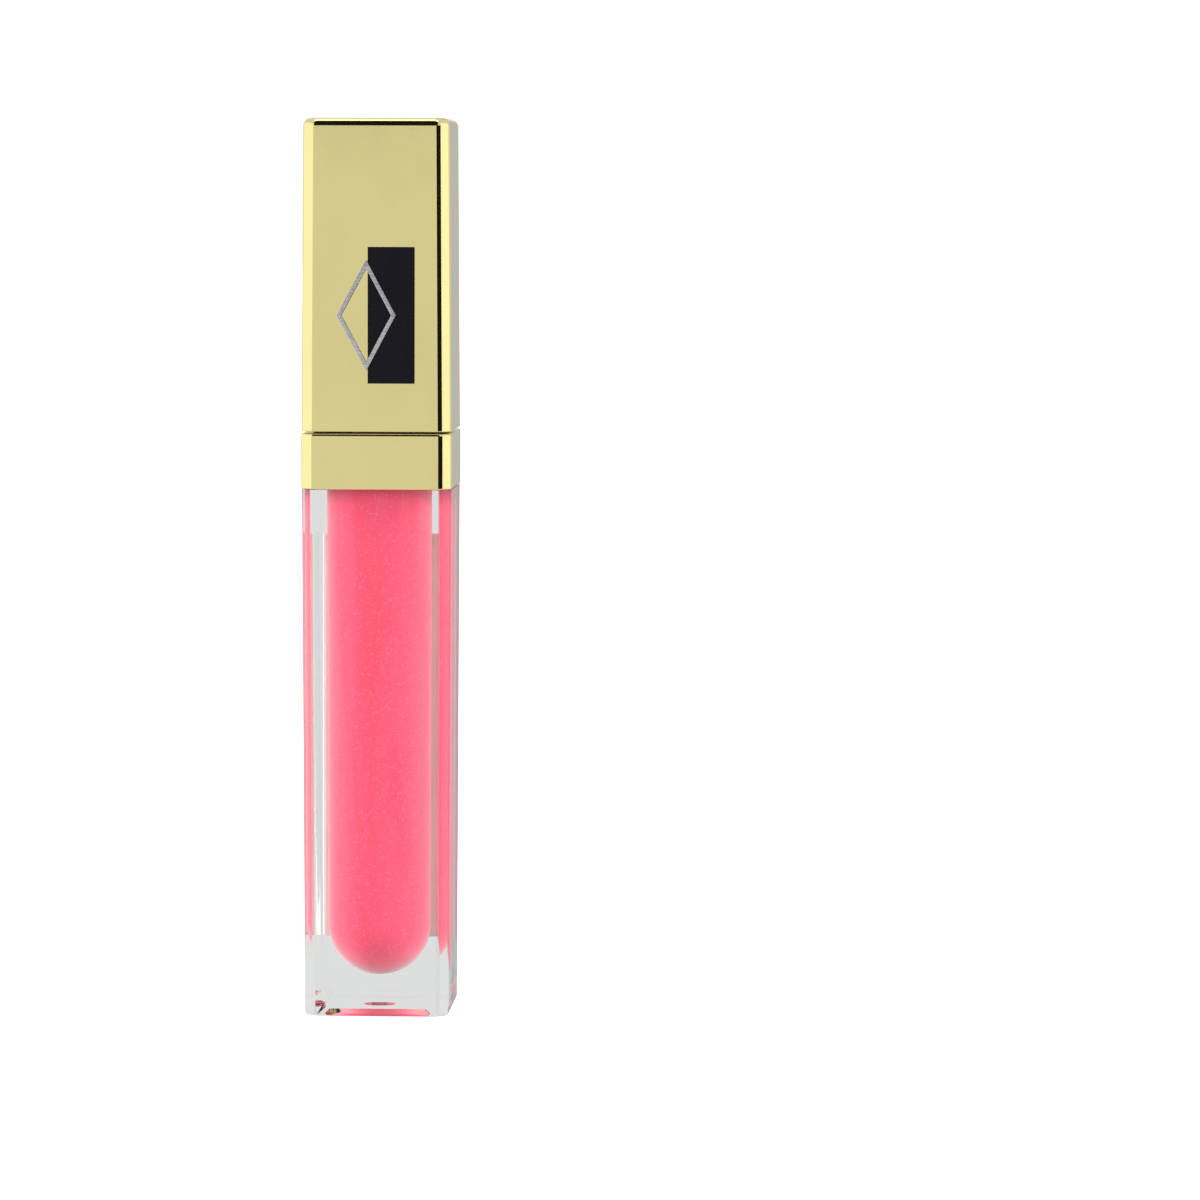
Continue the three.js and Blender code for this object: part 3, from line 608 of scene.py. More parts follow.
def finish(name, build, values, bump, uniform=None):
    """A material whose colour, roughness and grain come from a surface group."""
    material = new_material(name)
    tree, shader = material.node_tree, shader_of(material)
    surface = add(tree, "ShaderNodeGroup", node_tree=group_of(build))
    for socket, value in values.items():
        surface.inputs[socket].default_value = value
    for socket, value in (uniform or {}).items():
        shader.inputs[socket].default_value = value
    strength, distance = bump
    values = {"Strength": strength, "Distance": distance, "Height": surface.outputs["Height"]}
    relief = add(tree, "ShaderNodeBump", values)
    tree.links.new(surface.outputs["Color"], shader.inputs["Base Color"])
    tree.links.new(surface.outputs["Roughness"], shader.inputs["Roughness"])
    tree.links.new(relief.outputs[0], shader.inputs["Normal"])
    return material


def made(name, color, drift, scales, rough, bump, uniform=None):
    """A made surface: its colour, the colour or shade it drifts to, drift and grain scale, smooth and rough."""
    drift_color = rgba(color, drift) if isinstance(drift, float) else rgba(drift)
    labels = ("Color", "Drift Color", "Drift Scale", "Grain Scale", "Smooth", "Rough")
    values = (rgba(color), drift_color, *scales, *rough)
    return finish(name, made_surface, dict(zip(labels, values)), bump, uniform)


def paint(material, mask, color):
    """Covers the masked part of a material's base colour with another colour."""
    socket = shader_of(material).inputs["Base Color"]
    tree = material.node_tree
    tree.links.new(mixed(tree, mask, socket.links[0].from_socket, rgba(color)), socket)


def plate(material, mask):
    """Makes the masked part of a material metal."""
    material.node_tree.links.new(mask, shader_of(material).inputs["Metallic"])


def object_axis(tree, axis, centre=(0.0, 0.0, 0.0), turn=(0.0, 0.0, 0.0)):
    """One coordinate on the object, after a shift to the centre and a turn."""
    place = add(tree, "ShaderNodeTexCoord").outputs["Object"]
    for label, value in (("Location", -Vector(centre)), ("Rotation", turn)):
        place = add(tree, "ShaderNodeMapping", {"Vector": place, label: value}).outputs[0]
    return add(tree, "ShaderNodeSeparateXYZ", {0: place}).outputs[axis]


def clear_plastic():
    """Thick clear moulded plastic, with faint sink marks."""
    tint = bpy.context.scene.tube_colours.clear
    uniform = {"Transmission Weight": 1.0, "IOR": 1.5}
    return made("clear_plastic", tint, 0.985, (40.0, 110.0), (0.0, 0.03), (0.06, 0.0002), uniform)


def pink_gloss():
    """Thick pink gloss full of fine pearl."""
    pink = bpy.context.scene.tube_colours.gloss
    values = {
        "Color": rgba(pink),
        "Streak Color": rgba((pink[0] * 1.04, pink[1] * 1.25, pink[2] * 1.2)),
        "Flake Color": (1.0, 0.19, 0.31, 1.0),
        "Flake Scale": 3800.0,
        "Flake Share": 0.3,
    }
    uniform = {"Specular IOR Level": 0.3, "Sheen Weight": 0.8, "Sheen Roughness": 0.5}
    return finish("pink_gloss", pearl_shimmer, values, (0.25, 0.00004), uniform)


def gold(name):
    """Vacuum-metallised gold over moulded plastic, with a satin lacquer."""
    base = bpy.context.scene.tube_colours.gold
    uniform = {"Metallic": 1.0, "Coat Weight": 0.1, "Coat Roughness": 0.08}
    return made(name, base, 0.96, (45.0, 5200.0), (0.07, 0.11), (0.04, 0.000004), uniform)


def plastic(name, color, smooth=0.32, rough=0.5, grain=3200.0, subsurface=0.15, bump=(0.2, 0.00002)):
    """Moulded plastic that lets a little light in."""
    uniform = {"Subsurface Weight": subsurface, "Subsurface Scale": 0.0006}
    return made(name, color, 0.94, (120.0, grain), (smooth, rough), bump, uniform)


def white_plastic(name, smooth=0.32, rough=0.5, grain=3200.0, subsurface=0.15):
    return plastic(name, bpy.context.scene.tube_colours.white, smooth, rough, grain, subsurface)


def turned_metal(name, color, centre=(0.0, 0.0, 0.0), smooth=0.18, rough=0.34):
    """Bare metal with the fine lines of its making."""
    values = {
        "Color": rgba(color),
        "Line Color": rgba(color, 0.82),
        "Centre": centre,
        "Smooth": smooth,
        "Rough": rough,
    }
    return finish(name, turned_lines, values, (0.15, 0.000008), {"Metallic": 1.0})


def mirror_glass(lean):
    """Silvered acrylic with a painted back, which faces the bottle."""
    silver, drift, paint_color = (0.86, 0.88, 0.88), (0.84, 0.86, 0.87), (0.82, 0.76, 0.7)
    uniform = {"Coat Weight": 0.5, "Coat Roughness": 0.02}
    material = made("mirror_silver", silver, drift, (90.0, 60.0), (0.015, 0.04), (0.02, 0.0001), uniform)
    tree = material.node_tree
    out = object_axis(tree, 1, middle("mirror_panel"), (lean, 0.0, 0.0))
    silvered = math_node(tree, "GREATER_THAN", out, -0.3 * MM)
    paint(material, math_node(tree, "SUBTRACT", 1.0, silvered), paint_color)
    plate(material, silvered)
    return material


def seal_foam():
    """Closed-cell foam liner."""
    return plastic("seal_foam", (0.86, 0.86, 0.84), 0.6, 0.8, 2600.0, 0.3, (0.6, 0.00008))


def flocked_fibre():
    """Short pink-stained fibres on the applicator."""
    tone = bpy.context.scene.tube_colours.flock
    uniform = {"Sheen Weight": 0.8, "Sheen Roughness": 0.4, "Sheen Tint": (1.0, 0.85, 0.88, 1.0)}
    return made("flocked_fibre", tone, 0.8, (700.0, 9000.0), (0.75, 1.0), (0.8, 0.00012), uniform)


def board_laminate():
    """Green circuit board: glass weave, plated tracks and pads round its two parts."""
    green, drift = (0.012, 0.12, 0.035), (0.016, 0.15, 0.05)
    track_green, plating = (0.03, 0.23, 0.075), (0.72, 0.53, 0.22)
    uniform = {"Coat Weight": 0.3}
    material = made("board_laminate", green, drift, (900.0, 2200.0), (0.25, 0.4), (0.2, 0.00002), uniform)
    tree = material.node_tree
    source = add(tree, "ShaderNodeTexCoord").outputs["Object"]
    values = {"Vector": source, "Scale": 300.0, "Mortar Size": 0.05, "Brick Width": 0.9}
    tracks = add(tree, "ShaderNodeTexBrick", values, offset=0.5)
    paint(material, tracks.outputs["Fac"], track_green)
    flat = add(tree, "ShaderNodeMapping", {"Vector": source, "Scale": (1.0, 1.0, 0.0)})
    for node in ("led", "switch_pad"):
        distance = add(tree, "ShaderNodeVectorMath", {0: flat.outputs[0], 1: spot(node)}, operation="DISTANCE")
        edge = half(node) + 0.3 * MM
        paint(material, math_node(tree, "LESS_THAN", distance.outputs["Value"], edge), plating)
    return material


def lamp_resin():
    """Clear lamp resin with a yellow phosphor heart."""
    resin, drift, phosphor = (0.92, 0.92, 0.86), (0.88, 0.88, 0.8), (0.95, 0.7, 0.1)
    uniform = {"Coat Weight": 0.6}
    material = made("lamp_resin", resin, drift, (90.0, 3000.0), (0.08, 0.16), (0.05, 0.00001), uniform)
    tree = material.node_tree
    source = add(tree, "ShaderNodeTexCoord").outputs["Object"]
    heart = (*middle("led").xy, low("led"))
    distance = add(tree, "ShaderNodeVectorMath", {0: source, 1: heart}, operation="DISTANCE")
    paint(material, spread(tree, distance.outputs["Value"], 0.5 * MM, 0.8 * MM, 1.0, 0.0), phosphor)
    return material


def light_pipe():
    """Clear pipe that brings the lamp's light to the rim."""
    clear, drift = (0.96, 0.98, 0.99), (0.93, 0.96, 0.98)
    uniform = {"Transmission Weight": 1.0, "IOR": 1.49}
    return made("light_pipe", clear, drift, (90.0, 600.0), (0.02, 0.12), (0.08, 0.00003), uniform)


def resistor_body():
    """Black chip resistor with tinned ends."""
    black, drift, tin = (0.012, 0.012, 0.013), (0.02, 0.02, 0.021), (0.72, 0.72, 0.7)
    material = made("resistor_body", black, drift, (90.0, 4000.0), (0.3, 0.5), (0.2, 0.00001))
    tree = material.node_tree
    along = object_axis(tree, 0, middle("resistor"), (0.0, 0.0, -math.pi / 4))
    ends = math_node(tree, "GREATER_THAN", math_node(tree, "ABSOLUTE", along, 0.0), 0.5 * MM)
    paint(material, ends, tin)
    plate(material, ends)
    return material


def cell_can():
    """Nickelled cell with a dark gasket between its can and its button."""
    nickel, rubber = (0.62, 0.62, 0.6), (0.02, 0.02, 0.022)
    gasket_height, gasket_reach = 0.14 * MM, 0.09 * MM
    material = turned_metal("cell_can", nickel)
    tree = material.node_tree
    pitch = low("cell_middle") - low("cell_lower")
    up = math_node(tree, "SUBTRACT", object_axis(tree, 2), low("cell_lower"))
    within = math_node(tree, "MODULO", up, pitch)
    values = {0: within, 1: gasket_height, 2: gasket_reach}
    gasket = add(tree, "ShaderNodeMath", values, operation="COMPARE").outputs[0]
    paint(material, gasket, rubber)
    plate(material, math_node(tree, "SUBTRACT", 1.0, gasket))
    return material


# ---------------------------------------------------------------- bottle


def bore_outline(inset, top):
    """The bore's outline from its domed bottom up to given points, shrunk by an inset."""
    sizes = bpy.context.scene.tube_bottle
    dome = arc(0, sizes.base_thickness + sizes.bore_base, sizes.bore_base - inset, -90, 0, 24)
    return [(0, dome[0][1]), *dome[1:], *top]


def foot_hollow(sizes):
    """A cutter for the shallow hollow under the base, round its gate mark."""
    corner, softening = 0.5 * MM, 0.2 * MM
    mouth = sizes.base_half - sizes.foot_width
    levels = [(mouth, -PAST), (mouth, 0), (mouth - sizes.foot_slope, sizes.foot_depth)]
    hollow = squared("foot_hollow", levels, corner, softening)
    root, depth = sizes.gate_radius, sizes.gate_depth
    above, bottom = sizes.foot_depth + PAST, sizes.foot_depth - depth
    outline = [(0, bottom), (root - depth, bottom), (root, sizes.foot_depth), (root, above), (0, above)]
    cut(hollow, turned("gate_mark", outline, SMALL_STEPS))
    return hollow


class TUBE_OT_bottle(bpy.types.Operator):
    """Clear square bottle with its round bore, shoulder, neck and thread"""

    bl_idname = "tube.bottle"
    bl_label = "Bottle"

    def execute(self, context):
        sizes = context.scene.tube_bottle
        top_half, neck_top = half("bottle"), high("bottle")
        shoulder = low("collar") - FIT
        levels = [
            *lower_edge(0, sizes.base_half, sizes.base_edge),
            (top_half, shoulder),
            (sizes.shoulder_half, shoulder),
            (sizes.shoulder_half, sizes.shoulder_top),
        ]
        body = squared("bottle_body", levels, sizes.chamfer, sizes.softening)
        neck_bottom = sizes.shoulder_top - PAST
        rim = upper_edge(neck_top, sizes.neck_radius, 0.2 * MM)
        join(body, turned("neck", [(0, neck_bottom), (sizes.neck_radius, neck_bottom), *rim, (0, neck_top)]))
        turns = context.scene.tube_thread.neck_turns
        join(body, ridge("neck_ridge", sizes.neck_radius, sizes.ridge_crest, turns, sizes.thread_start))
        cone_top = sizes.cone_bottom + sizes.bore_top - sizes.neck_bore
        over = neck_top + PAST
        top = [(sizes.bore_top, sizes.cone_bottom), (sizes.neck_bore, cone_top), (sizes.neck_bore, over), (0, over)]
        cut(body, turned("bore", bore_outline(0, top)), foot_hollow(sizes))
        hand_over(body, BOTTLE, clear_plastic(), "bottle")
        body.visible_shadow = False
        return {"FINISHED"}


class TUBE_OT_gloss(bpy.types.Operator):
    """Pink gloss filling the bore round the wand"""

    bl_idname = "tube.gloss"
    bl_label = "Gloss"

    def execute(self, context):
        sizes = context.scene.tube_bottle
        top, edge, clearance = high("gloss_fill"), 0.5 * MM, 0.35 * MM
        reach = sizes.bore_top + sizes.wetting
        channel = half("applicator_tip") + clearance
        channel_bottom = low("applicator_tip") - clearance
        meniscus = arc(reach - edge, top, edge, 0, -90, 6)
        well = arc(0, channel_bottom + channel, channel, 0, -90, 12)
        outline = bore_outline(-sizes.wetting, [*meniscus, (channel, top - edge), *well])
        piece = turned("gloss", [*outline[:-1], (0, channel_bottom)])
        hand_over(piece, BOTTLE, pink_gloss(), "gloss_fill")
        return {"FINISHED"}


class TUBE_OT_collar(bpy.types.Operator):
    """Gold collar over the bottle's shoulder"""

    bl_idname = "tube.collar"
    bl_label = "Collar"

    def execute(self, context):
        sizes = context.scene.tube_bottle
        bottom, top, reach = low("collar"), high("collar"), half("collar")
        edges = [*lower_edge(bottom, reach, 0.15 * MM, 4), *upper_edge(top, reach, sizes.collar_edge, 8)]
        band = squared("gold_collar", edges, sizes.chamfer, sizes.softening)
        inner, roof_thickness = reach - sizes.collar_wall, 1 * MM
        pocket = [(inner, bottom - PAST), (inner, top - roof_thickness)]
        hole = sizes.ridge_crest + 0.15 * MM
        cut(
            band,
            squared("collar_pocket", pocket, sizes.chamfer, sizes.softening),
            post("collar_hole", hole, bottom, top + PAST),
        )
        hand_over(band, BOTTLE, gold("gold_collar"), "collar")
        return {"FINISHED"}


class TUBE_OT_wiper_and_seal(bpy.types.Operator):
    """Soft wiper in the neck, and the foam seal on its flange"""

    bl_idname = "tube.wiper_and_seal"
    bl_label = "Wiper and seal"

    def execute(self, context):
        bottom, top, flange = low("wiper"), high("wiper"), half("wiper")
        outer, inner, orifice, tip, edge = 3.55 * MM, 2.95 * MM, 2.25 * MM, 0.15 * MM, 0.2 * MM
        flange_bottom = top - 0.6 * MM
        lip_top = bottom + 2.4 * MM
        outline = [
            *arc(orifice + tip, bottom + tip, tip, 180, 300, 6),
            (outer, lip_top),
            (outer, flange_bottom),
            *lower_edge(flange_bottom, flange, edge, 4),
            *upper_edge(top, flange, edge, 4),
            *arc(inner + edge, top - edge, edge, 90, 180, 4),
            (inner, lip_top),
            (orifice, bottom + 0.6 * MM),
        ]
        wiper = ring("neck_wiper", outline, MIDDLE_STEPS)
        soft_white = white_plastic("wiper_plastic", 0.35, 0.55, 2000.0, 0.35)
        hand_over(wiper, BOTTLE, soft_white, "wiper")
        seal = washer("foam_seal", "mouth_seal", 2.55 * MM, 0.12 * MM, MIDDLE_STEPS)
        hand_over(seal, SEAL, seal_foam(), "mouth_seal")
        return {"FINISHED"}


def lean_back(piece, lean, centre):
    """Tips an upright piece with the bottle's back and puts it in place."""
    piece.rotation_euler.x = -lean
    move_to(piece, centre)


class TUBE_OT_mirror(bpy.types.Operator):
    """Mirror stuck to the back of the bottle"""

    bl_idname = "tube.mirror"
    bl_label = "Mirror"

    def execute(self, context):
        sizes = context.scene.tube_bottle
        lean = math.atan((half("bottle") - sizes.base_half) / (low("collar") - FIT))
        thick = 0.8 * MM
        tall = height("mirror_panel") / math.cos(lean) - thick * math.sin(lean)
        panel = centred("mirror_plate", (2 * half("mirror_panel"), thick, tall), 0.12 * MM, 3)
        lean_back(panel, lean, middle("mirror_panel"))
        hand_over(panel, BOTTLE, mirror_glass(lean), "mirror_panel")
        size = (2 * half("mirror_adhesive"), 0.1 * MM, height("mirror_adhesive"))
        film = centred("mirror_film", size, 0.01 * MM)
        lean_back(film, lean, middle("mirror_adhesive"))
        cream = plastic("adhesive_film", (0.78, 0.72, 0.68), 0.55, 0.75, 1400.0, 0.0)
        hand_over(film, BOTTLE, cream, "mirror_adhesive")
        return {"FINISHED"}


# ---------------------------------------------------------------- cap


def cap_front():
    """How far the cap's front leans back."""
    return math.atan(bpy.context.scene.tube_cap.taper / height("cap_shell"))


def cap_half(z):
    """The cap's outer half width at a height."""
    share = (z - low("cap_shell")) / height("cap_shell")
    return half("cap_shell") - bpy.context.scene.tube_cap.taper * share


def on_front(piece, across, proud):
    """Stands a piece drawn flat (X across, Y up, Z outwards) on the cap's front at the panel's height."""
    z = middle("front_panel").z
    only(piece)
    bpy.ops.transform.translate(value=(across, 0, proud))
    bpy.ops.object.transform_apply()
    piece.rotation_euler.x = math.pi / 2 - cap_front()
    return move_to(piece, (0, -cap_half(z), z))


def upright_block(name, width, tall, back, front, bevel=0.0):
    """A block drawn flat, width across, its height along Y, from its back to its front."""
    return block(name, Vector((-width / 2, -tall / 2, back)), Vector((width / 2, tall / 2, front)), bevel)


class TUBE_OT_cap_shell(bpy.types.Operator):
    """Tall gold shell of the cap, with a recess for the front panel"""

    bl_idname = "tube.cap_shell"
    bl_label = "Cap shell"

    def execute(self, context):
        sizes = context.scene.tube_cap
        corner = context.scene.tube_bottle
        bottom, top, reach = low("cap_shell"), high("cap_shell"), half("cap_shell")
        edges = [
            *lower_edge(bottom, reach, sizes.rim_edge, 4),
            *upper_edge(top, reach - sizes.taper, sizes.top_edge, 12),
        ]
        shell = squared("gold_cap", edges, corner.chamfer, corner.softening)
        ceiling = top - sizes.wall
        under = bottom - PAST
        inside = [(cap_half(under) - sizes.wall, under), (cap_half(ceiling) - sizes.wall, ceiling)]
        width = 2 * half("front_panel") + 2 * sizes.recess_gap
        tall = height("front_panel") + 2 * sizes.recess_gap
        recess = upright_block("panel_recess", width, tall, -sizes.recess_depth, sizes.recess_depth)
        cut(
            shell,
            squared("cap_inside", inside, sizes.inner_chamfer, corner.softening),
            on_front(recess, middle("front_panel").x, 0),
        )
        hand_over(shell, CAP, gold("gold_cap"), "cap_shell")
        return {"FINISHED"}


class TUBE_OT_front_trim(bpy.types.Operator):
    """Black panel let into the cap's front, and a plain open lozenge laid over its edge"""

    bl_idname = "tube.front_trim"
    bl_label = "Front trim"

    def execute(self, context):
        sizes = context.scene.tube_cap
        colours = context.scene.tube_colours
        depth = sizes.recess_depth - sizes.recess_gap
        panel = upright_block("black_panel", 2 * half("front_panel"), height("front_panel"), -depth, 0, 0.06 * MM)
        on_front(panel, middle("front_panel").x, 0)
        black = plastic("black_lacquer", colours.panel, 0.12, 0.2, 5200.0, 0.0)
        shader_of(black).inputs["Specular IOR Level"].default_value = 0.15
        hand_over(panel, CAP, black, "front_panel")

        thick, edge = 0.12 * MM, 0.035 * MM
        clear_selection()
        place = (0, 0, sizes.recess_gap)
        bpy.ops.mesh.primitive_circle_add(vertices=4, radius=1, fill_type="NGON", location=place)
        motif = bpy.context.object
        motif.name = "silver_lozenge"
        motif.scale = (half("silver_motif"), height("silver_motif") / 2, 1)
        bpy.ops.object.transform_apply()
        start_edit()
        bpy.ops.mesh.inset(thickness=sizes.motif_line, use_even_offset=True)
        bpy.ops.mesh.delete(type="FACE")
        bpy.ops.mesh.select_all(action="SELECT")
        bpy.ops.mesh.extrude_region_move(TRANSFORM_OT_translate={"value": (0, 0, thick)})
        end_edit()
        apply_modifier(motif, "BEVEL", width=edge, segments=2, limit_method="ANGLE")
        on_front(motif, middle("silver_motif").x, 0)
        silver = turned_metal("silver_trim", colours.silver, smooth=0.2, rough=0.3)
        hand_over(motif, CAP, silver, "silver_motif")
        return {"FINISHED"}


def corner_post(name, node, gap, bottom, top):
    """A plain round cutter where a corner part stands, wider than it by a gap."""
    return move_to(post(name, half(node) + gap, bottom, top, SMALL_STEPS), spot(node))


class TUBE_OT_closure(bpy.types.Operator):
    """Threaded closure glued in the shell"""

    bl_idname = "tube.closure"
    bl_label = "Threaded closure"

    def execute(self, context):
        sizes = context.scene.tube_cap
        thread = context.scene.tube_thread
        softening = context.scene.tube_bottle.softening
        rim, top = low("inner_cap"), high("inner_cap")
        ceiling = top - sizes.plate
        below, past = rim - PAST, top + PAST
        barrel_top = top - FIT
        radius, reach, bore = sizes.closure_radius, half("inner_cap"), sizes.closure_bore
        barrel = [(0, rim), *lower_edge(rim, radius, 0.2 * MM), (radius, barrel_top), (0, barrel_top)]
        body = turned("threaded_closure", barrel)
        plate_edge = 0.1 * MM
        plate_levels = [(reach - plate_edge, ceiling), (reach, ceiling + plate_edge), (reach, top)]
        join(body, squared("closure_plate", plate_levels, sizes.inner_chamfer, softening))
        cut(body, post("closure_bore", bore, below, ceiling))
        start = context.scene.tube_bottle.thread_start + thread.lead * (thread.cap_late - 0.5)
        join(body, ridge("cap_ridge", bore, sizes.closure_crest, thread.cap_turns, start, thread.cap_late))
        cut(
            body,
            post("stem_hole", sizes.stem_radius + FIT, below, past, SMALL_STEPS),
            corner_post("lamp_hole", "light_guide", FIT, below, past),
            corner_post("pin_hole", "plunger_pin", PIN_GAP, below, past),
        )
        drop_slivers(body)
        hand_over(body, CAP, white_plastic("closure_plastic"), "inner_cap")
        return {"FINISHED"}


class TUBE_OT_wand(bpy.types.Operator):
    """Stem and flocked applicator"""

    bl_idname = "tube.wand"
    bl_label = "Wand"

    def execute(self, context):
        radius = context.scene.tube_cap.stem_radius
        bottom, top, reach = low("stem"), high("stem"), half("stem")
        tip_bottom, tip_top = low("applicator_tip"), high("applicator_tip")
        tip_radius, spigot = half("applicator_tip"), 0.95 * MM
        shoulder = tip_top + FIT
        flange_bottom, flange_top = low("mouth_seal"), high("mouth_seal")
        outline = [
            (0, bottom),
            *lower_edge(bottom, spigot, 0.2 * MM, 4),
            (spigot, shoulder),
            *lower_edge(shoulder, radius, 0.2 * MM, 4),
            (radius, flange_bottom - 0.3 * MM),
            (radius + 0.3 * MM, flange_bottom),
            *lower_edge(flange_bottom, reach, 0.1 * MM, 4),
            *upper_edge(flange_top, reach, 0.1 * MM, 4),
            (radius, flange_top),
            *upper_edge(top, radius, 0.2 * MM, 4),
            (0, top),
        ]
        stem = turned("wand_stem", outline, WAND_STEPS)
        hand_over(stem, CAP, white_plastic("stem_plastic", 0.22, 0.36), "stem")

        tip_outline = [
            (0, tip_bottom),
            *arc(0, tip_bottom + tip_radius, tip_radius, -90, 0, 16)[1:],
            (tip_radius, tip_top - 1.5 * MM),
            *upper_edge(tip_top, tip_radius - 0.2 * MM, 0.4 * MM),
            (0, tip_top),
        ]
        tip = turned("flocked_tip", tip_outline, WAND_STEPS)
        slant, flat_start = math.radians(17), 1.9 * MM
        knife = block("slant_knife", Vector((-4, -4, -25)) * MM, Vector((4, 0, 25)) * MM)
        knife.rotation_euler.x = slant
        cut(tip, move_to(knife, (0, flat_start - tip_radius, tip_bottom)))
        fuzz(tip)
        cut(tip, post("tip_socket", spigot + FIT, bottom - FIT, tip_top + PAST, SMALL_STEPS))
        hand_over(tip, CAP, flocked_fibre(), "applicator_tip", angle=NAP_ANGLE)
        return {"FINISHED"}


def fuzz(tip):
    """Rounds the slanted cut and raises a fine nap of fibres."""
    apply_modifier(tip, "REMESH", mode="VOXEL", voxel_size=0.12 * MM)
    apply_modifier(tip, "SMOOTH", factor=0.5, iterations=3)
    nap = bpy.data.textures.new("nap", "CLOUDS")
    nap.noise_scale = 0.25 * MM
    nap.noise_depth = 1
    apply_modifier(tip, "DISPLACE", texture=nap, strength=0.14 * MM, mid_level=0.9)


class TUBE_OT_lamp(bpy.types.Operator):
    """Lamp, its light guide, circuit board and resistor"""

    bl_idname = "tube.lamp"
    bl_label = "Lamp"

    def execute(self, context):
        place = spot("light_guide")
        guide = rod("light_guide_rod", half("light_guide"), low("light_guide"), high("light_guide"), 0.2 * MM)
        move_to(guide, place)
        hand_over(guide, CAP, light_pipe(), "light_guide")

        radius, bottom, top = half("led"), low("led"), high("led")
        base = bottom + 0.6 * height("led")
        lens = radius - 0.15 * MM
        rim = [(lens, base), (radius, base), (radius, top), (0, top)]
        outline = [(0, bottom), *lower_edge(bottom, lens, 0.3 * MM), *rim]
        lamp = move_to(turned("lamp_body", outline, SMALL_STEPS), place)
        hand_over(lamp, CAP, lamp_resin(), "led")

        sizes = context.scene.tube_cap
        reach, under, over = half("circuit_board"), low("circuit_board"), high("circuit_board")
        levels = [(reach, under), (reach, over)]
        board = squared("lamp_board", levels, sizes.inner_chamfer, context.scene.tube_bottle.softening)
        cut(board, corner_post("board_hole", "plunger_pin", PIN_GAP, under - PAST, over + PAST))
        apply_modifier(board, "BEVEL", width=0.05 * MM, segments=2, limit_method="ANGLE")
        hand_over(board, CAP, board_laminate(), "circuit_board")

        chip = centred("chip_resistor", Vector((1.6, 0.8, 0.5)) * MM, 0.06 * MM)
        chip.rotation_euler.z = math.pi / 4
        move_to(chip, middle("resistor"))
        hand_over(chip, CAP, resistor_body(), "resistor")
        return {"FINISHED"}


class TUBE_OT_switch(bpy.types.Operator):
    """Plunger, contact disc, pad and spring that switch the lamp on when the cap is lifted"""

    bl_idname = "tube.switch"
    bl_label = "Switch"

    def execute(self, context):
        place = spot("plunger_pin")
        radius, bottom, top = half("plunger_pin"), low("plunger_pin"), high("plunger_pin")
        spigot = 0.45 * MM
        step = low("contact_disc") - FIT
        outline = [
            (0, bottom),
            *lower_edge(bottom, radius, 0.35 * MM, 8),
            (radius, step),
            (spigot, step),
            *upper_edge(top, spigot, 0.12 * MM, 4),
            (0, top),
        ]
        pin = move_to(turned("switch_pin", outline, SMALL_STEPS), place)
        white = white_plastic("pin_plastic", 0.25, 0.4)
        hand_over(pin, SWITCH, white, "plunger_pin")
        brass = turned_metal("switch_brass", BRASS, place, 0.16, 0.3)
        for name, node, hole, body in (
            ("contact_washer", "contact_disc", spigot + FIT, SWITCH),
            ("contact_pad", "switch_pad", radius + PIN_GAP, CAP),
        ):
            disc = washer(name, node, hole, 0.2 * height(node), SMALL_STEPS)
            hand_over(move_to(disc, place), body, brass, node)
        spring = move_to(coil("return_spring", "plunger_spring", 0.28 * MM, 5, 36), place)
        steel = turned_metal("spring_steel", STEEL, place, 0.2, 0.36)
        hand_over(spring, None, steel, "plunger_spring", angle=COIL_ANGLE)
        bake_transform(spring)
        return {"FINISHED"}


def draw_in(spring, start, end, wide, narrow):
    """Draws a straight coil in towards its top, moving each wire section without thinning it."""
    for vertex in spring.data.vertices:
        across = Vector((vertex.co.x, vertex.co.y, 0))
        share = min(1.0, max(0.0, (vertex.co.z - start) / (end - start)))
        vertex.co -= across.normalized() * (wide - narrow) * share


class TUBE_OT_cells(bpy.types.Operator):
    """Three button cells with the contact above them and the spring below"""

    bl_idname = "tube.cells"
    bl_label = "Cells and contacts"

    def execute(self, context):
        material = cell_can()
        radius = half("cell_lower")
        button, step = 3.1 * MM, 0.2 * MM
        bottom, top = low("cell_lower"), high("cell_lower")
        outline = [
            (0, bottom),
            *lower_edge(bottom, button, 0.1 * MM, 4),
            (button, bottom + step),
            *lower_edge(bottom + step, radius, 0.35 * MM, 6),
            *upper_edge(top, radius, 0.25 * MM, 6),
            (0, top),
        ]
        first = turned("button_cell_lower", outline, MIDDLE_STEPS)
        for node in ("cell_middle", "cell_upper"):
            cell = first.copy()
            cell.data = first.data.copy()
            cell.name = "button_" + node
            context.collection.objects.link(cell)
            move_to(cell, (0, 0, low(node) - bottom))
            hand_over(cell, CAP, material, node)
        hand_over(first, CAP, material, "cell_lower")

        low_z, high_z = low("positive_contact"), high("positive_contact")
        side, sheet, arm_half = right("positive_contact"), 0.25 * MM, 1 * MM
        under = high_z - sheet
        contact = rod("contact_strip", radius - 0.1 * MM, under, high_z, FIT, MIDDLE_STEPS, 3)
        join(
            contact,
            block("arm", Vector((0, -arm_half, under)), Vector((side, arm_half, high_z))),
            block("leg", Vector((side - sheet, -arm_half, low_z)), Vector((side, arm_half, high_z))),
        )
        drop_slivers(contact)
        brass = turned_metal("contact_brass", BRASS, smooth=0.2, rough=0.36)
        hand_over(contact, CAP, brass, "positive_contact")

        wire = 0.36 * MM
        spring = coil("cell_spring", "battery_spring", wire, 2.5, 48)
        base = half("battery_spring") - wire / 2
        draw_in(spring, low("battery_spring") + wire / 2, high("battery_spring") - wire / 2, base, base / 2)
        steel = turned_metal("cell_spring_steel", STEEL, smooth=0.2, rough=0.36)
        hand_over(spring, CAP, steel, "battery_spring", angle=COIL_ANGLE)
        return {"FINISHED"}


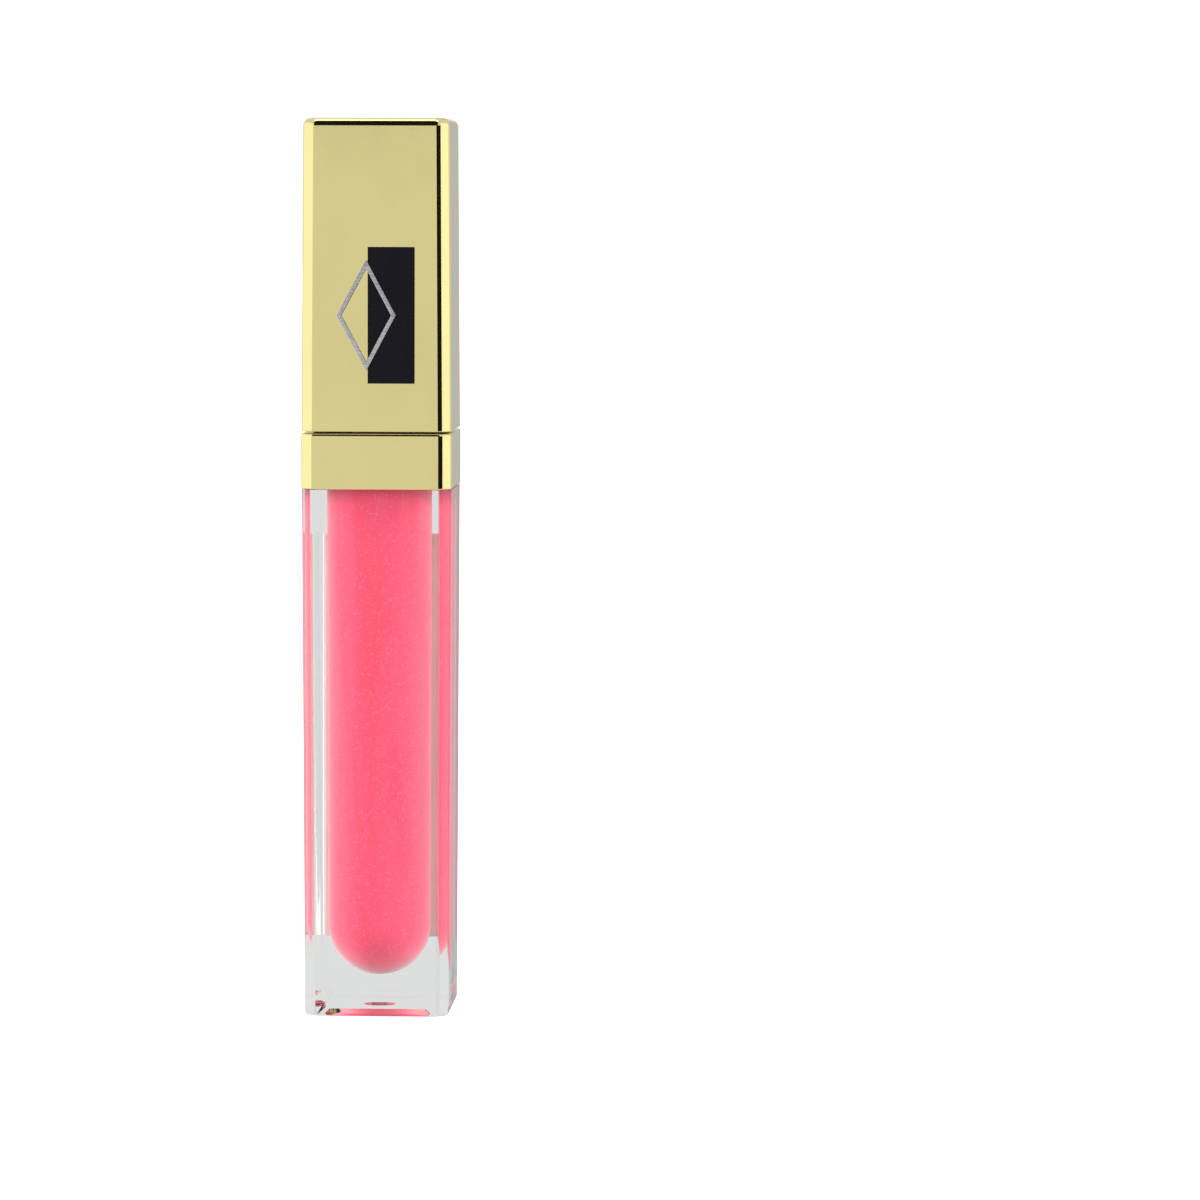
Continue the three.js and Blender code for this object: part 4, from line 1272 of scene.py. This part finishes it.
class TUBE_OT_holder(bpy.types.Operator):
    """Holder of the cells, with its square flange, and its lid"""

    bl_idname = "tube.holder"
    bl_label = "Cell holder"

    def execute(self, context):
        bottom, top, reach = low("battery_holder"), high("battery_holder"), half("battery_holder")
        radius, well = 5.0 * MM, half("cell_lower") + 0.15 * MM
        flange_thickness, edge = 1 * MM, 0.1 * MM
        flange_bottom = high("plunger_spring") + edge
        flange_top = flange_bottom + flange_thickness
        body = rod("cell_holder", radius, bottom, top, 0.15 * MM, ROUND_STEPS)
        levels = [
            (reach - edge, flange_bottom),
            (reach, flange_bottom + edge),
            (reach, flange_top - edge),
            (reach - edge, flange_top),
        ]
        join(body, squared("flange", levels, context.scene.tube_cap.inner_chamfer, 0.2 * MM))
        below, past = bottom - PAST, top + PAST
        wall, slot, window = 0.9 * MM, 1.1 * MM, 2.2 * MM
        strip = right("positive_contact")
        window_low = Vector((-window, -2 * radius, bottom + wall))
        window_high = Vector((window, 0, flange_bottom - wall))
        cut(
            body,
            post("well", well, below, past),
            block("window", window_low, window_high, 0.3 * MM, 3),
            block("slot", Vector((strip - 0.35 * MM, -slot, below)), Vector((strip + 0.1 * MM, slot, past))),
            block("notch", Vector((0, -slot, top - 0.35 * MM)), Vector((2 * radius, slot, past))),
        )
        white = white_plastic("holder_plastic", 0.35, 0.55)
        hand_over(body, CAP, white, "battery_holder")
        low_z, high_z, lid_radius = low("battery_lid"), high("battery_lid"), half("battery_lid")
        dish, dip = lid_radius - 1.2 * MM, 0.2 * MM
        outline = [
            (0, low_z),
            *lower_edge(low_z, lid_radius, 0.1 * MM, 4),
            *upper_edge(high_z, lid_radius, dip, 6),
            (dish + dip, high_z),
            (dish, high_z - dip),
            (0, high_z - dip),
        ]
        hand_over(turned("holder_lid", outline), CAP, white, "battery_lid")
        return {"FINISHED"}


# ---------------------------------------------------------------- stage

LIGHT_DISTANCE = 0.9
CARD_DISTANCE = 0.5
SURROUND = 0.76
BACKDROP = 1.05
FLOOR_GLOW = 0.65
FLOOR_SIZE = 12
FLOOR_DROP = 0.05 * MM
CENTRE = (FRAME_BOX[0] + FRAME_BOX[1]) / 2

# name, azimuth and elevation, width, height, power, seen in polished faces
SOFTBOXES = (
    ("left_softbox", -80, 5, 1.5, 1.2, 2.1, True),
    ("right_softbox", 92, 5, 0.3, 1.2, 0.5, True),
    ("top_softbox", 0, 88, 0.8, 0.8, 2.2, True),
    ("left_fill", -84, 18, 0.5, 0.8, 9.0, False),
    ("right_fill", 84, 18, 0.5, 0.8, 9.0, False),
    ("front_fill", -12, 3, 0.7, 0.7, 6.0, False),
)
# name, azimuth and elevation, width, height, shade
CARDS = (
    ("right_flag", 41, -6, 0.88, 0.34, 0.01),
    ("high_flag", 2, 43, 0.55, 0.7, 0.01),
    ("back_card", 170, 0, 0.16, 0.9, 0.5),
)


def facing(azimuth, elevation):
    """The direction from the tube towards a place round it, degrees from the front towards +X."""
    turn, rise = math.radians(azimuth), math.radians(elevation)
    return Vector((math.sin(turn) * math.cos(rise), -math.cos(turn) * math.cos(rise), math.sin(rise)))


def aim(thing, direction):
    """Turns a lamp, camera or card so that it looks along a direction."""
    thing.rotation_mode = "QUATERNION"
    thing.rotation_quaternion = direction.to_track_quat("-Z", "Y")


def softbox(name, azimuth, elevation, width, height, power, reflected):
    """A soft area light round the tube, seen in polished faces or not."""
    light = bpy.data.lights.new(name, "AREA")
    light.shape = "RECTANGLE"
    light.size, light.size_y, light.energy = width, height, power
    lamp = bpy.data.objects.new(name, light)
    bpy.context.collection.objects.link(lamp)
    lamp.location = CENTRE + facing(azimuth, elevation) * LIGHT_DISTANCE
    aim(lamp, CENTRE - lamp.location)
    lamp.visible_camera = False
    lamp.visible_glossy = reflected
    lamp.visible_transmission = False


def card(name, azimuth, elevation, width, height, shade):
    """A plain card that only shows as a reflection."""
    clear_selection()
    bpy.ops.mesh.primitive_plane_add(size=1)
    board = bpy.context.object
    board.name = name
    board.scale = (width, height, 1)
    board.location = CENTRE + facing(azimuth, elevation) * CARD_DISTANCE
    aim(board, CENTRE - board.location)
    material = new_material(name)
    tree = material.node_tree
    glow = add(tree, "ShaderNodeEmission", {"Strength": shade})
    tree.links.new(glow.outputs[0], tree.nodes["Material Output"].inputs["Surface"])
    board.data.materials.append(material)
    for ray in ("camera", "diffuse", "transmission", "shadow", "volume_scatter"):
        setattr(board, "visible_" + ray, False)


def pale_floor():
    """Plain white."""
    material = new_material("pale_floor")
    tree, shader = material.node_tree, shader_of(material)
    for socket, value in (
        ("Base Color", rgba((0.9, 0.9, 0.9))),
        ("Roughness", 0.9),
        ("Specular IOR Level", 0.0),
        ("Emission Color", rgba((1.0, 1.0, 1.0))),
    ):
        shader.inputs[socket].default_value = value
    seen = math_node(tree, "MULTIPLY", add(tree, "ShaderNodeLightPath").outputs["Is Camera Ray"], FLOOR_GLOW)
    tree.links.new(seen, shader.inputs["Emission Strength"])
    return material


def studio_air():
    """White behind the tube, and an even pale grey all round it."""
    world = bpy.data.worlds.new("studio")
    world.use_nodes = True
    tree = world.node_tree
    background = tree.nodes["Background"]
    background.inputs["Color"].default_value = rgba((1.0, 1.0, 1.0))
    seen = add(tree, "ShaderNodeLightPath").outputs["Is Camera Ray"]
    tree.links.new(spread(tree, seen, 0.0, 1.0, SURROUND, BACKDROP), background.inputs["Strength"])
    return world


class TUBE_OT_stage(bpy.types.Operator):
    """Pale floor, soft light and the camera"""

    bl_idname = "tube.stage"
    bl_label = "Stage"

    def execute(self, context):
        scene = context.scene
        sizes = scene.tube_stage
        clear_selection()
        bpy.ops.mesh.primitive_plane_add(size=FLOOR_SIZE, location=(0, 0, FRAME_BOX[0].z - FLOOR_DROP))
        floor = bpy.context.object
        floor.name = "floor"
        floor.data.materials.append(pale_floor())
        floor.visible_glossy = False
        floor.visible_transmission = False
        scene.world = studio_air()
        scene.view_settings.view_transform = "Standard"

        for values in SOFTBOXES:
            softbox(*values)
        for values in CARDS:
            card(*values)

        data = bpy.data.cameras.new("camera")
        data.lens = sizes.lens
        camera = bpy.data.objects.new("camera", data)
        context.collection.objects.link(camera)
        towards = facing(sizes.azimuth, sizes.elevation)
        camera.location = CENTRE + towards * sizes.distance
        aim(camera, -towards)
        pan = Quaternion((0, 1, 0), -math.radians(sizes.pan))
        tilt = Quaternion((1, 0, 0), -math.radians(sizes.tilt))
        camera.rotation_quaternion = camera.rotation_quaternion @ pan @ tilt
        scene.camera = camera
        return {"FINISHED"}


# ---------------------------------------------------------------- panel


STEPS = (
    TUBE_OT_bottle,
    TUBE_OT_gloss,
    TUBE_OT_collar,
    TUBE_OT_wiper_and_seal,
    TUBE_OT_mirror,
    TUBE_OT_cap_shell,
    TUBE_OT_front_trim,
    TUBE_OT_closure,
    TUBE_OT_wand,
    TUBE_OT_lamp,
    TUBE_OT_switch,
    TUBE_OT_cells,
    TUBE_OT_holder,
    TUBE_OT_stage,
)

SIZES = {
    "tube_bottle": TubeBottleSizes,
    "tube_thread": TubeThreadSizes,
    "tube_cap": TubeCapSizes,
    "tube_colours": TubeColours,
    "tube_stage": TubeStageSizes,
}


class TUBE_PT_panel(bpy.types.Panel):
    """Lists the pieces of the tube"""

    bl_idname = "TUBE_PT_panel"
    bl_label = "Lip Gloss Tube"
    bl_space_type = "VIEW_3D"
    bl_region_type = "UI"
    bl_category = "Lip Gloss"

    def draw(self, context):
        for name, group in SIZES.items():
            box = self.layout.box()
            for label in group.__annotations__:
                box.prop(getattr(context.scene, name), label)
        for step in STEPS:
            self.layout.operator(step.bl_idname)


def register():
    for group in SIZES.values():
        bpy.utils.register_class(group)
    for name, group in SIZES.items():
        setattr(bpy.types.Scene, name, bpy.props.PointerProperty(type=group))
    for item in (*STEPS, TUBE_PT_panel):
        bpy.utils.register_class(item)


def unregister():
    for item in (TUBE_PT_panel, *reversed(STEPS)):
        bpy.utils.unregister_class(item)
    for name, group in SIZES.items():
        delattr(bpy.types.Scene, name)
        bpy.utils.unregister_class(group)


def main():
    register()
    for step in STEPS:
        family, name = step.bl_idname.split(".")
        getattr(getattr(bpy.ops, family), name)()


if __name__ == "__main__":
    main()
